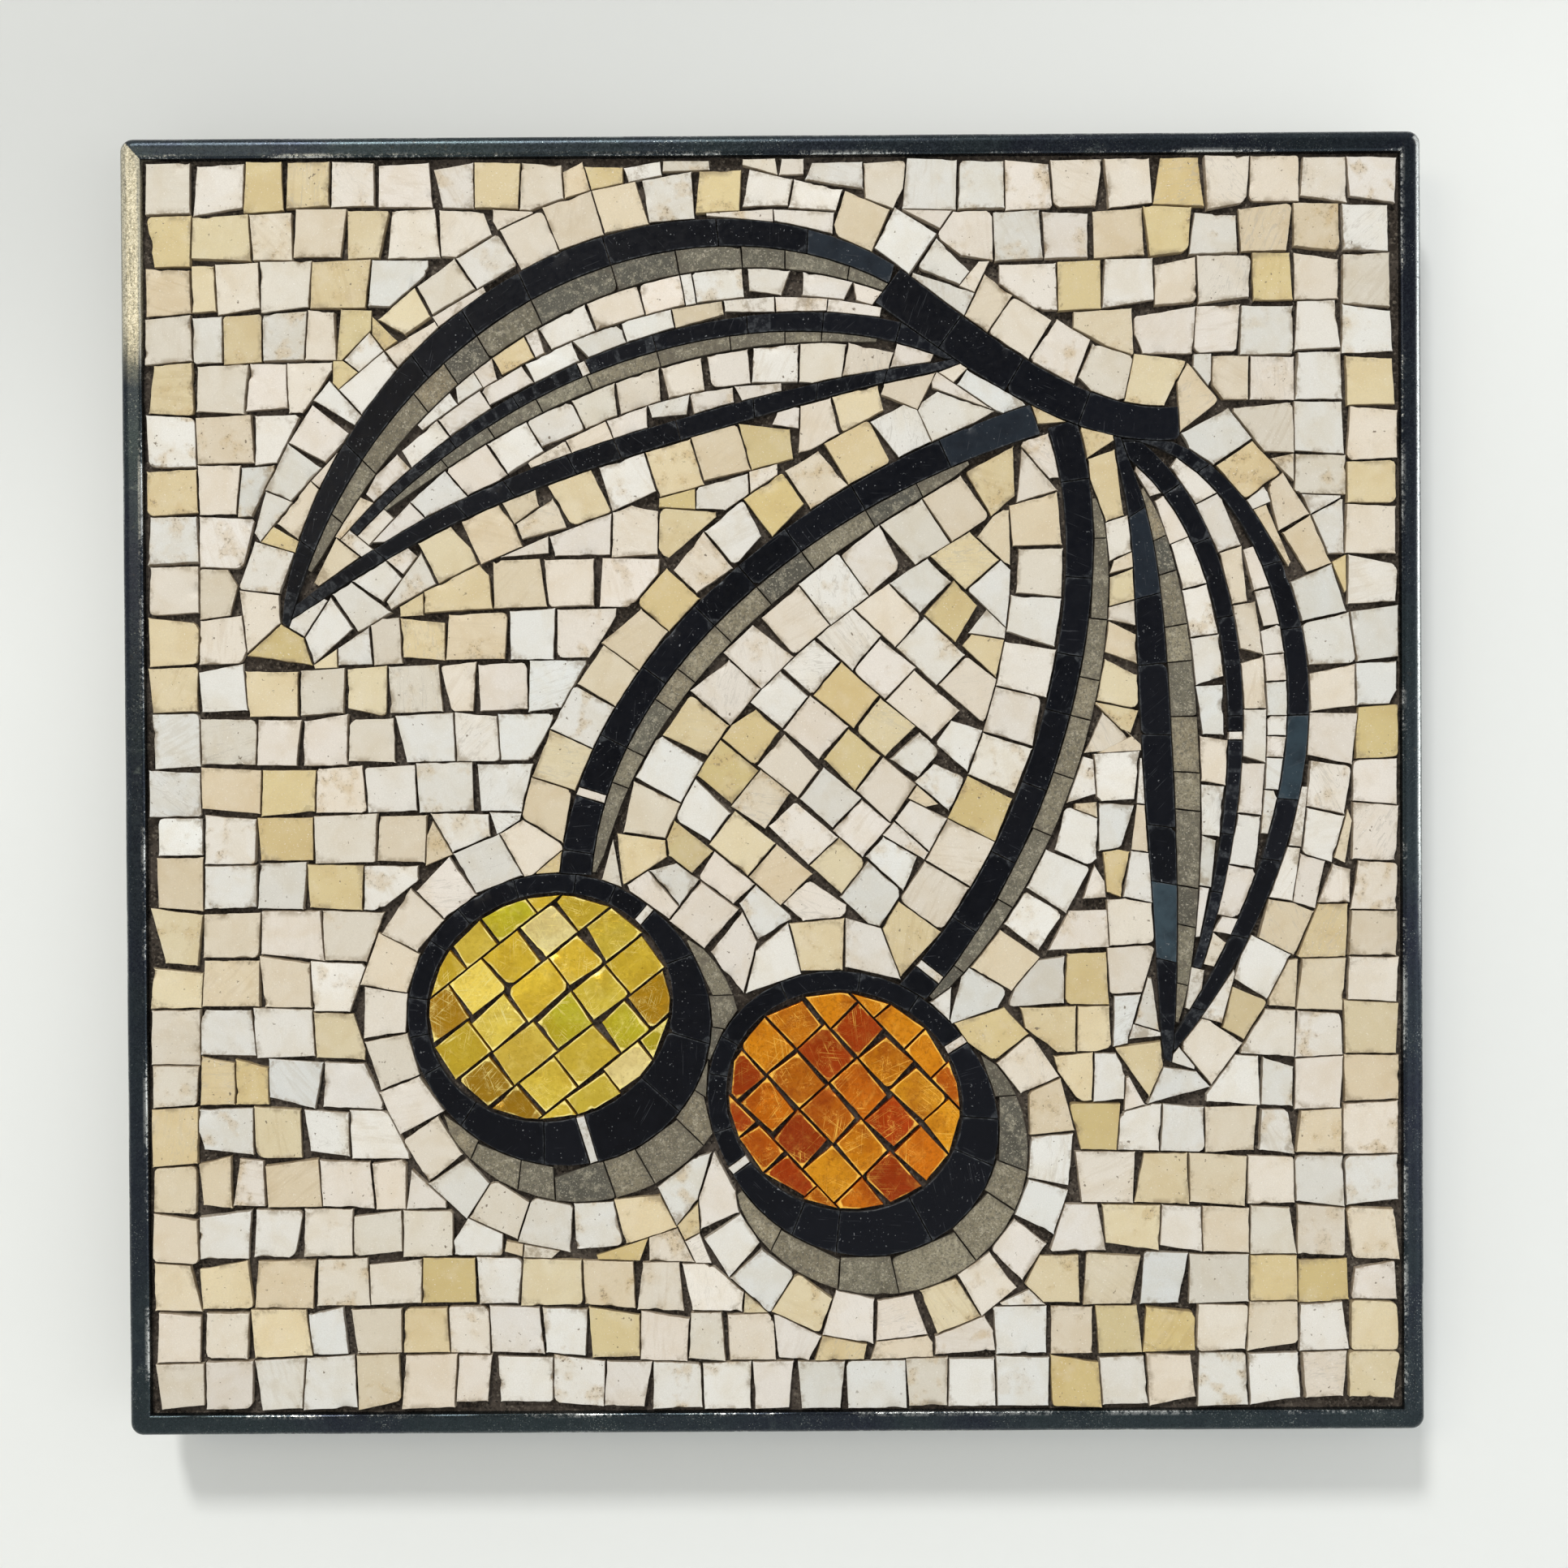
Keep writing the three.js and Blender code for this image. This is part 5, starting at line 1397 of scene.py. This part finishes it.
def mortar():
    g = Graph("dark_mortar")
    p = g.place(seed=False)
    n1 = g.noise(p, 0.10, 4, 0.6)
    n2 = g.noise(p, 1.3, 5, 0.7)
    col = g.mixc(g.ramp(n1, ((0.35, 0.0), (0.7, 1.0))), (0.028, 0.022, 0.017), (0.080, 0.066, 0.054))
    col = g.mixc(g.ramp(n2, ((0.45, 0.0), (0.72, 0.8))), col, (0.125, 0.104, 0.084))
    sand = g.voronoi(p, 1.9, out="Color")
    sp = g.n("ShaderNodeSeparateColor")
    g.put(sp.inputs[0], sand)
    col = g.mixc(g.ramp(sp.outputs[0], ((0.88, 0.0), (0.96, 0.5))), col, (0.20, 0.175, 0.14))
    col = g.mixc(g.ramp(sp.outputs[1], ((0.80, 0.0), (0.95, 0.7))), col, (0.010, 0.009, 0.008))
    sn = g.n("ShaderNodeSeparateXYZ")        # the back has dried paler, with trowel marks
    g.put(sn.inputs[0], g.n("ShaderNodeNewGeometry").outputs["True Normal"])
    behind = g.ramp(sn.outputs[1], ((0.5, 0.0), (0.8, 1.0)))
    swirl = g.noise(g.scaled(p, (0.085, 1.0, 0.14)), 1.0, 6, 0.62, 2.2)
    cement = g.mixc(g.ramp(swirl, ((0.35, 0.0), (0.68, 1.0))), (0.225, 0.205, 0.178), (0.315, 0.292, 0.255))
    cement = g.mixc(g.ramp(n2, ((0.48, 0.0), (0.70, 0.55))), cement, (0.175, 0.158, 0.135))
    cement = g.mixc(g.ramp(g.noise(p, 0.035, 3, 0.6), ((0.52, 0.0), (0.70, 0.5))), cement, (0.150, 0.136, 0.118))
    col = g.mixc(behind, col, cement)
    height = g.math("ADD", n2, g.math("MULTIPLY", g.voronoi(p, 1.9), -0.6))
    height = g.math("ADD", height, g.math("MULTIPLY", swirl, g.math("MULTIPLY", behind, 1.4)))
    g.shade(Base_Color=col, Roughness=0.93, Normal=g.bump(height, 0.5, 0.0004), Specular_IOR_Level=0.2, IOR=1.45)
    return g.mat


def steel():
    g = Graph("blackened_steel")
    p = g.place(seed=False)
    edge_v = g.attr("edge")                  # 1 on the rubbed outer and inner edges, whose pale steel is real wear and in part a painted highlight
    cloud = g.noise(p, 0.022, 4, 0.55, 0.4)
    mott = g.noise(p, 0.30, 5, 0.66, 0.5)
    fine = g.noise(p, 2.2, 4, 0.7)
    col = g.mixc(g.ramp(cloud, ((0.36, 0.0), (0.66, 1.0))), (0.0175, 0.0215, 0.035), (0.0255, 0.038, 0.0425))
    col = g.mixc(g.ramp(mott, ((0.46, 0.0), (0.76, 0.45))), col, (0.047, 0.062, 0.068))
    col = g.mixc(g.ramp(fine, ((0.44, 0.0), (0.70, 0.50))), col, (0.050, 0.062, 0.072))
    # fine pale flecks, gathered here and there
    gather = g.ramp(g.noise(g.vmath("ADD", p, (9.0, 33.0, 2.0)), 0.075, 4, 0.6, 0.5), ((0.42, 0.25), (0.66, 1.0)))
    fleck = g.ramp(g.math("ADD", g.math("MULTIPLY", g.noise(p, 3.1, 2, 0.5), 0.78), g.math("MULTIPLY", gather, 0.10)), ((0.575, 0.0), (0.625, 0.75)))
    col = g.mixc(fleck, col, (0.34, 0.37, 0.35))
    scuff = g.math("MULTIPLY", g.ramp(mott, ((0.56, 0.0), (0.70, 0.8))), g.ramp(g.noise(p, 0.03, 3, 0.6), ((0.54, 0.0), (0.66, 1.0))))
    col = g.mixc(g.math("MULTIPLY", scuff, g.ramp(fine, ((0.42, 0.2), (0.60, 0.8)))), col, (0.16, 0.19, 0.175))
    dark = g.ramp(g.noise(g.vmath("ADD", p, (21.0, 4.0, 9.0)), 1.25, 4, 0.75), ((0.54, 0.0), (0.68, 0.45)))
    col = g.mixc(dark, col, (0.010, 0.011, 0.015))
    rust = g.math("MULTIPLY", g.ramp(g.noise(g.vmath("ADD", p, (13.0, 5.0, 40.0)), 0.5, 5, 0.7), ((0.63, 0.0), (0.74, 0.5))), g.ramp(g.noise(p, 0.018, 2), ((0.45, 0.0), (0.65, 1.0))))
    col = g.mixc(rust, col, (0.12, 0.085, 0.05))
    rub_and_highlight = g.math("MULTIPLY", edge_v, g.ramp(g.math("ADD", g.math("MULTIPLY", g.noise(p, 0.05, 3), 0.55), g.math("MULTIPLY", g.noise(p, 1.4, 4, 0.75), 0.5)), ((0.53, 0.0), (0.62, 0.9))))
    # the warm patch's edges also get a painted bright line
    rub_and_highlight = g.math("MAXIMUM", rub_and_highlight, g.math("MULTIPLY", g.math("MULTIPLY", edge_v, g.attr("warm")), 0.9))
    # pale steel along the edges: rubbed wear, and in part a painted highlight line
    col = g.mixc(rub_and_highlight, col, (0.66, 0.68, 0.66))
    # a painted warm reflection at the head of the left rail, and a painted glittering highlight strip down the right
    # one: lamps mirrored in the steel, put into its colour
    grit = g.noise(g.vmath("ADD", p, (2.0, 71.0, 6.0)), 2.6, 3, 0.7)
    streak = g.noise(g.scaled(p, (1.6, 1.0, 0.10)), 1.0, 4, 0.6, 0.5)
    warm_reflection_w = g.math("MULTIPLY", g.attr("warm"), g.ramp(g.math("ADD", g.math("MULTIPLY", streak, 0.6), g.math("MULTIPLY", grit, 0.4)), ((0.36, 0.45), (0.56, 1.0))))
    col = g.mixc(warm_reflection_w, col, g.mixc(g.ramp(grit, ((0.40, 0.0), (0.62, 1.0))), (0.36, 0.325, 0.215), (0.68, 0.63, 0.475)))
    # painted highlight: a pale glittering strip down the upper right rail
    painted_glint_w = g.math("MULTIPLY", g.attr("painted_glint"), g.ramp(g.math("ADD", grit, g.math("MULTIPLY", g.noise(p, 0.35, 3), 0.3)), ((0.50, 0.12), (0.62, 1.0))))
    col = g.mixc(painted_glint_w, col, (0.88, 0.91, 0.88))
    # both painted reflections also lower the metallic, so their pale colour shows directly
    painted_reflection_w = g.math("MAXIMUM", warm_reflection_w, painted_glint_w)
    height = g.math("ADD", g.math("MULTIPLY", mott, 0.25), g.math("MULTIPLY", fine, 0.42))
    normal = g.bump(height, 0.34, 0.0003)
    rough = g.math("SUBTRACT", g.ramp(fine, ((0.35, 0.24), (0.72, 0.36))), g.math("MULTIPLY", rub_and_highlight, 0.06))
    g.shade(Base_Color=col, Roughness=rough, Normal=normal, Metallic=g.math("SUBTRACT", 0.90, g.math("MULTIPLY", painted_reflection_w, 0.68)), IOR=1.8)
    return g.mat


def plywood():
    g = Graph("birch_plywood")
    p = g.place(seed=False)
    face = g.n("ShaderNodeMapping")
    g.put(face.inputs["Vector"], p)
    face.inputs["Scale"].default_value = (0.10, 0.4, 0.012)
    rings = g.noise(face.outputs[0], 1.0, 5, 0.6, 1.6)
    bands = g.math("FRACT", g.math("MULTIPLY", rings, 9.0))
    col = g.mixc(g.ramp(bands, ((0.0, 0.0), (1.0, 0.75))), (0.60, 0.43, 0.25), (0.46, 0.30, 0.155))
    fib = g.n("ShaderNodeMapping")
    g.put(fib.inputs["Vector"], p)
    fib.inputs["Scale"].default_value = (3.0, 1.0, 0.08)
    fibre = g.noise(fib.outputs[0], 1.0, 4, 0.65)
    col = g.mixc(g.ramp(fibre, ((0.42, 0.0), (0.70, 0.5))), col, (0.33, 0.21, 0.105))
    # the veneers, seen on the edges
    nrm = g.n("ShaderNodeNewGeometry").outputs["True Normal"]
    sn = g.n("ShaderNodeSeparateXYZ")
    g.put(sn.inputs[0], nrm)
    flatness = g.ramp(g.math("ABSOLUTE", sn.outputs[1]), ((0.35, 1.0), (0.65, 0.0)))
    sp = g.n("ShaderNodeSeparateXYZ")
    g.put(sp.inputs[0], p)
    ply = g.math("FRACT", g.math("DIVIDE", sp.outputs[1], 2.8))
    layer = g.ramp(g.math("ABSOLUTE", g.math("SUBTRACT", ply, 0.5)), ((0.22, 0.0), (0.28, 1.0)))
    edge_c = g.mixc(layer, (0.55, 0.40, 0.235), (0.28, 0.175, 0.085))
    edge_c = g.mixc(g.ramp(g.noise(p, 0.8, 4, 0.7), ((0.5, 0.0), (0.75, 0.5))), edge_c, (0.20, 0.125, 0.065))
    col = g.mixc(flatness, col, edge_c)
    height = g.math("ADD", g.math("MULTIPLY", fibre, 0.7), g.math("MULTIPLY", g.noise(p, 2.5, 3), 0.2))
    g.shade(Base_Color=col, Roughness=0.66, Normal=g.bump(height, 0.25, 0.0003), Specular_IOR_Level=0.35, IOR=1.5)
    return g.mat


M_MARBLE, M_BLACK, M_GREY = marble(), black_glass(), grey_stone()
M_GOLD = leaf_glass("gold_leaf_glass", lin(176, 136, 16), lin(255, 238, 150), 0.60, 0.55)
M_AMBER = leaf_glass("amber_leaf_glass", lin(150, 54, 1), lin(255, 200, 84), 0.60, 1.0)
M_MORTAR, M_STEEL, M_PLY = mortar(), steel(), plywood()

# ---------------------------------------------------------------- the tesserae
batches = {k: Batch(n) for k, n in (("white", "white_marble_tesserae"), ("cream", "cream_marble_tesserae"), ("yellow", "honey_marble_tesserae"),
                                    ("black", "black_glass_tesserae"), ("grey", "grey_stone_tesserae"), ("gold", "gold_leaf_tesserae"), ("amber", "amber_leaf_tesserae"))}
for t in tesserae:
    mat, o = t["mat"], t["outline"]
    rgb = rng.choice(TONES[mat])
    if mat in ("white", "cream", "yellow"):
        edge_row = max(abs(middle(o)[0]), abs(middle(o)[1])) > HALF - PITCH
        tilt = 2.6 if rng.random() < (0.12 if edge_row else 0.04) else 0.75
        chips = rng.choice((0, 1, 1, 2, 2)) if area(o) > 40 else 0
        tessera(batches[mat], o, 1.85 + rng.gauss(0, 0.08), vary(rgb, rng, 0.035, 0.012), rng, chips=chips, tilt=tilt, worn=0.10 + 0.09 * rng.random(), rough=0.13 + 0.15 * rng.random(), step=0.70)
    elif mat == "black":
        tessera(batches[mat], o, 1.98 + rng.gauss(0, 0.04), vary(rgb, rng, 0.10, 0.02), rng, step=0.95, worn=0.10, rough=0.07, chips=rng.choice((0, 0, 0, 1)), tilt=0.45, wave=0.03, dome=0.02, draft=0.06, crack=0.03)
    elif mat == "grey":
        tessera(batches[mat], o, 1.78 + rng.gauss(0, 0.06), vary(rgb, rng, 0.07, 0.02), rng, step=0.9, worn=0.12, rough=0.10, chips=rng.choice((0, 0, 1)), tilt=0.7, wave=0.04, draft=0.06, crack=0.08)
    else:
        tessera(batches[mat], o, 1.92 + rng.gauss(0, 0.06), vary(rgb, rng, 0.10, 0.02), rng, step=0.6, worn=0.13, rough=0.12, chips=rng.choice((0, 0, 1)), tilt=1.5, wave=0.07, dome=0.05, fill=1.2, draft=0.05, crack=0.10)
for k, b in batches.items():
    ob = b.make({"white": M_MARBLE, "cream": M_MARBLE, "yellow": M_MARBLE, "black": M_BLACK, "grey": M_GREY, "gold": M_GOLD, "amber": M_AMBER}[k])
    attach(ob, "root")
    if k in ("gold", "amber"):
        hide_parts(*[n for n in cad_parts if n.startswith(k)])
    else:
        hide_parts("mosaic_bed")

# ---------------------------------------------------------------- the mortar bed
def mortar_bed():
    n = 224
    half = FIELD / 2 - 0.02
    verts, faces = [], []
    for j in range(n + 1):
        for i in range(n + 1):
            x, z = -half + 2 * half * i / n, -half + 2 * half * j / n
            h = 0.15 + 0.30 * noise.noise((x * 0.06, z * 0.06, 3.0)) + 0.24 * noise.noise((x * 0.33, z * 0.33, 7.0)) + 0.16 * noise.noise((x * 1.1, z * 1.1, 11.0))
            rim = min(half - abs(x), half - abs(z))
            h += 0.25 * max(0.0, 1 - rim / 1.6) * (0.6 + noise.noise((x * 0.2, z * 0.2, 19.0)))
            verts.append((x * MM, (BED_Y - h) * MM, z * MM))
    for j in range(n):
        for i in range(n):
            a = j * (n + 1) + i
            faces.append((a, a + 1, a + n + 2, a + n + 1))
    # the back, as poured: nearly flat, with a coarse grid, and the sides between
    m, base = 56, len(verts)
    for j in range(m + 1):
        for i in range(m + 1):
            x, z = -half + 2 * half * i / m, -half + 2 * half * j / m
            edge_on = i in (0, m) or j in (0, m)
            inside = max(abs(x), abs(z)) < BOARD / 2 + 2
            d = 0.0 if inside or edge_on else 0.12 + 0.22 * abs(noise.noise((x * 0.05, z * 0.05, 31.0))) + 0.12 * noise.noise((x * 0.3, z * 0.3, 37.0))
            verts.append((x * MM, (BED_HI.y / MM - max(0.0, d)) * MM, z * MM))
    for j in range(m):
        for i in range(m):
            a = base + j * (m + 1) + i
            faces.append((a, a + m + 1, a + m + 2, a + 1))
    r = n // m
    for k in range(m):
        for fa, fb in (
            (lambda q: q, lambda q: base + q),                                               # foot
            (lambda q: n * (n + 1) + (n - q), lambda q: base + m * (m + 1) + (m - q)),       # top
            (lambda q: (n - q) * (n + 1), lambda q: base + (m - q) * (m + 1)),               # left
            (lambda q: q * (n + 1) + n, lambda q: base + q * (m + 1) + m),                   # right
        ):
            front = [fa(k * r + s) for s in range(r + 1)]
            b0, b1 = fb(k), fb(k + 1)
            faces.append(tuple([b0, b1] + front[::-1]))
    me = bpy.data.meshes.new("mortar_bed")
    me.from_pydata(verts, [], faces)
    me.polygons.foreach_set("use_smooth", [True] * len(faces))
    me.update()
    me.set_sharp_from_angle(angle=math.radians(60))
    ob = bpy.data.objects.new("mortar_bed", me)
    bpy.context.scene.collection.objects.link(ob)
    me.materials.append(M_MORTAR)
    return ob


bed = mortar_bed()
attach(bed, "root")
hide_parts("mosaic_bed")

# ---------------------------------------------------------------- the steel frame
def steel_frame():
    w, rr, arc = RAIL, 2.1, 7
    y0, y1 = FRAME_HI.y / MM, FRAME_LO.y / MM
    sec = [(0.35, y0, 0.6), (0.0, y0 - 0.35, 0.5)]
    for k in range(1, 5):
        sec.append((0.0, y0 - 0.35 + (y1 + rr - y0 + 0.35) * k / 5, 0.0))
    for i in range(arc + 1):
        a = math.pi / 2 * i / arc
        sec.append((rr - rr * math.cos(a), y1 + rr - rr * math.sin(a), 0.9 * max(0.0, 1 - abs(i / arc - 0.28) * 3.4)))
    ease = 0.55
    for k in range(1, 4):
        sec.append((rr + (w - ease - rr) * k / 4, y1 + 0.03 * math.sin(math.pi * k / 4), 0.0))
    for i in range(4):
        a = math.pi / 2 * i / 3
        sec.append((w - ease + ease * math.sin(a), y1 + ease - ease * math.cos(a), (0.5, 1.0, 1.0, 0.5)[i]))
    sec += [(w, y1 + 2.4, 0.0), (w, y0, 0.0)]
    verts, faces, edge, warm, painted_glint = [], [], [], [], []
    H, n = SIDE / 2, len(sec)
    stations = []
    turns, runs = 10, 60
    # corner fans and the straight rails between them, as (corner, angle, shift along the rail)
    for c in range(4):
        for k in range(turns + 1):
            stations.append((c, (c * 90 + 90 * k / turns) * math.pi / 180, 0.0))
        for k in range(1, runs):
            stations.append((c, (c * 90 + 90) * math.pi / 180, k / runs))
    signs = ((1, 1), (-1, 1), (-1, -1), (1, -1))
    for c, a, along in stations:
        sx, sz = signs[c]
        tx, tz = signs[(c + 1) % 4]
        for e, y, rub_and_highlight in sec:
            rad = CORNER * (1 - e / w)
            inset = H - e
            p0 = (sx * (inset - rad) + rad * math.cos(a), sz * (inset - rad) + rad * math.sin(a))
            p1 = (tx * (inset - rad) + rad * math.cos(a), tz * (inset - rad) + rad * math.sin(a))
            x, z = mix(p0, p1, along)
            d = 0.05 * noise.noise((x * 0.03, y * 0.2, z * 0.03)) + 0.02 * noise.noise((x * 0.25, y * 0.5, z * 0.25))
            shrink = 1 - (abs(d) + 0.02) / H if e < w else 1.0
            verts.append((x * shrink * MM, (y + (0.075 + d if y < y1 + rr and e > 0 else 0.01)) * MM, z * shrink * MM))
            edge.append(rub_and_highlight)
            # the last two weights mark painted reflections: a warm tan patch at the head of the left rail, and a pale
            # glittering strip down the upper part of the right rail
            warm.append((1.0 if e > 0.5 else 0.35) * (1.0 if y < y1 + 2.6 else 0.0) * min(1.0, max(0.0, (z - 96.0) / 9.0)) if c == 1 and a > 2.3 else 0.0)
            painted_glint.append(min(1.0, max(0.0, (z + 42.0) / 30.0)) * max(0.0, 1.0 - abs(e - 1.05) / 0.6) * (1.0 if y < y1 + 2.2 else 0.0) if (c == 3 and a > 5.5) or (c == 0 and a < 0.8) else 0.0)
    m = len(stations)
    for i in range(m):
        for j in range(n):
            a, b = i * n + j, i * n + (j + 1) % n
            c, d = ((i + 1) % m) * n + j, ((i + 1) % m) * n + (j + 1) % n
            faces.append((a, c, d, b))
    me = bpy.data.meshes.new("steel_frame")
    me.from_pydata(verts, [], faces)
    for key, values in (("edge", edge), ("warm", warm), ("painted_glint", painted_glint)):
        me.attributes.new(key, "FLOAT", "POINT").data.foreach_set("value", values)
    import bmesh
    bm = bmesh.new()
    bm.from_mesh(me)
    bmesh.ops.remove_doubles(bm, verts=bm.verts, dist=1e-6)
    bmesh.ops.recalc_face_normals(bm, faces=bm.faces)
    bm.to_mesh(me)
    bm.free()
    me.polygons.foreach_set("use_smooth", [True] * len(me.polygons))
    me.update()
    me.set_sharp_from_angle(angle=math.radians(30))
    ob = bpy.data.objects.new("steel_frame", me)
    bpy.context.scene.collection.objects.link(ob)
    me.materials.append(M_STEEL)
    return ob


rail = steel_frame()
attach(rail, "root")
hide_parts("frame")

# ---------------------------------------------------------------- the hanging board
def board():
    import bmesh
    bm = bmesh.new()
    bmesh.ops.create_cube(bm, size=1.0)
    size, mid = BOARD_HI - BOARD_LO, (BOARD_HI + BOARD_LO) / 2
    bmesh.ops.scale(bm, vec=size - Vector((0.0001, 0.0001, 0.0001)), verts=bm.verts)
    bmesh.ops.translate(bm, vec=mid, verts=bm.verts)
    bmesh.ops.bevel(bm, geom=list(bm.edges), offset=0.0009, segments=3, profile=0.6, affect="EDGES")
    bmesh.ops.subdivide_edges(bm, edges=[e for e in bm.edges if e.calc_length() > 0.1], cuts=10, use_grid_fill=True)
    me = bpy.data.meshes.new("plywood_board")
    bm.to_mesh(me)
    bm.free()
    me.polygons.foreach_set("use_smooth", [True] * len(me.polygons))
    me.update()
    me.set_sharp_from_angle(angle=math.radians(40))
    ob = bpy.data.objects.new("plywood_board", me)
    bpy.context.scene.collection.objects.link(ob)
    me.materials.append(M_PLY)
    return ob


ply = board()
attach(ply, "root")
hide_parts("hanging_board")

# ---------------------------------------------------------------- wall, floor, light and camera
def plane(name, corners, material):
    me = bpy.data.meshes.new(name)
    me.from_pydata(corners, [], [(0, 1, 2, 3)])
    me.update()
    ob = bpy.data.objects.new(name, me)
    bpy.context.scene.collection.objects.link(ob)
    me.materials.append(material)
    return ob


def pale(name, rgb, one_sided):
    g = Graph(name)
    p = g.place(seed=False)
    col = g.mixc(g.ramp(g.noise(p, 0.006, 3, 0.5), ((0.35, 0.0), (0.7, 0.5))), rgb, tuple(v * 0.975 for v in rgb))
    if one_sided:                            # the light falls off a little towards the wall's upper left
        sp = g.n("ShaderNodeSeparateXYZ")
        g.put(sp.inputs[0], p)
        fall = g.math("ADD", g.math("MULTIPLY", sp.outputs[0], -0.00075), g.math("MULTIPLY", sp.outputs[2], 0.0021))
        col = g.mixc(g.ramp(fall, ((0.18, 0.0), (0.50, 0.52))), col, tuple(v * 0.60 for v in rgb))
    s = g.shade(Base_Color=col, Roughness=0.75, Specular_IOR_Level=0.15)
    if one_sided:
        mixer, clear = g.n("ShaderNodeMixShader"), g.n("ShaderNodeBsdfTransparent")
        lp = g.n("ShaderNodeLightPath")
        fac = g.math("MAXIMUM", g.n("ShaderNodeNewGeometry").outputs["Backfacing"], lp.outputs["Is Shadow Ray"])
        g.put(mixer.inputs[0], fac)
        g.nt.links.new(s.outputs[0], mixer.inputs[1])
        g.nt.links.new(clear.outputs[0], mixer.inputs[2])
        g.nt.links.new(mixer.outputs[0], g.out.inputs[0])
    return g.mat


WALL_Y = 0.0005
wall = plane("wall", [(-0.9, WALL_Y, -0.45), (0.9, WALL_Y, -0.45), (0.9, WALL_Y, 0.8), (-0.9, WALL_Y, 0.8)], pale("pale_wall", (0.785, 0.806, 0.792), True))
floor_ob = plane("floor", [(-2.5, -2.5, -0.4501), (2.5, -2.5, -0.4501), (2.5, 2.5, -0.4501), (-2.5, 2.5, -0.4501)], pale("pale_floor", (0.58, 0.585, 0.58), False))

scene = bpy.context.scene
scene.view_settings.view_transform = "Standard"
scene.view_settings.look = "None"
scene.view_settings.exposure = 0.0
scene.view_settings.gamma = 1.0
world = bpy.data.worlds.new("studio")
scene.world = world
world.use_nodes = True
bg = world.node_tree.nodes["Background"]
wt = world.node_tree
gen, sep = wt.nodes.new("ShaderNodeTexCoord"), wt.nodes.new("ShaderNodeSeparateXYZ")
wt.links.new(gen.outputs["Generated"], sep.inputs[0])
dim = wt.nodes.new("ShaderNodeMapRange")     # the studio is dark in front of the panel, pale all round
dim.interpolation_type = "SMOOTHSTEP"
dim.inputs[1].default_value, dim.inputs[2].default_value = -0.97, -0.62
dim.inputs[3].default_value, dim.inputs[4].default_value = 0.20, 0.56
wt.links.new(sep.outputs[1], dim.inputs[0])
bg.inputs[0].default_value = (0.985, 0.99, 1.0, 1)
seen, tone_w = wt.nodes.new("ShaderNodeLightPath"), wt.nodes.new("ShaderNodeMix")
tone_w.data_type = "FLOAT"
wt.links.new(seen.outputs["Is Glossy Ray"], tone_w.inputs[0])
tone_w.inputs[2].default_value = 0.52
wt.links.new(dim.outputs[0], tone_w.inputs[3])
shown = wt.nodes.new("ShaderNodeMix")
shown.data_type = "FLOAT"
wt.links.new(seen.outputs["Is Camera Ray"], shown.inputs[0])
wt.links.new(tone_w.outputs[0], shown.inputs[2])
shown.inputs[3].default_value = 0.78
wt.links.new(shown.outputs[0], bg.inputs[1])


def area_light(name, at, to, size, power, colour, size_y=None):
    li = bpy.data.lights.new(name, "AREA")
    li.shape = "RECTANGLE" if size_y else "SQUARE"
    li.size = size
    if size_y:
        li.size_y = size_y
    li.energy, li.color = power, colour
    ob = bpy.data.objects.new(name, li)
    ob.location = at
    ob.rotation_euler = (Vector(to) - Vector(at)).to_track_quat("-Z", "Y").to_euler()
    ob.visible_camera = False
    bpy.context.scene.collection.objects.link(ob)
    return ob


area_light("key", (-0.78, -2.45, 2.46), (0, 0, 0), 0.45, 66.0, (1.0, 0.988, 0.965))
area_light("fill", (1.02, -1.30, -0.38), (0.16, 0, -0.10), 1.05, 4.6, (0.975, 0.985, 1.0))
area_light("left_strip", (-0.57, -1.13, 0.345), (-0.15, 0, 0.10), 0.36, 1.7, (1.0, 0.90, 0.70), 0.26)
area_light("right_strip", (1.15, -0.16, 0.14), (0.15, 0, 0.03), 0.12, 2.4, (0.90, 0.97, 1.0), 0.50)
area_light("back", (0.7, 1.9, 1.4), (0, 0, 0), 2.2, 38.0, (1.0, 1.0, 1.0))

cam_data = bpy.data.cameras.new("camera")
cam = bpy.data.objects.new("camera", cam_data)
scene.collection.objects.link(cam)
cam_data.sensor_width = 36.0
cam_data.angle = math.radians(45.0)
cam.location = (0.00337, -0.46015, 0.0037)
yaw, pitch, roll = math.radians(-0.117), math.radians(-0.448), math.radians(-0.34)
fwd = Vector((math.sin(yaw) * math.cos(pitch), math.cos(yaw) * math.cos(pitch), math.sin(pitch)))
right = fwd.cross(Vector((0, 0, 1))).normalized()
up = right.cross(fwd)
r2, u2 = right * math.cos(roll) + up * math.sin(roll), up * math.cos(roll) - right * math.sin(roll)
cam.rotation_mode = "QUATERNION"
cam.rotation_quaternion = Matrix((r2, u2, -fwd)).transposed().to_quaternion()
cam_data.clip_start, cam_data.clip_end = 0.01, 20.0
scene.camera = cam
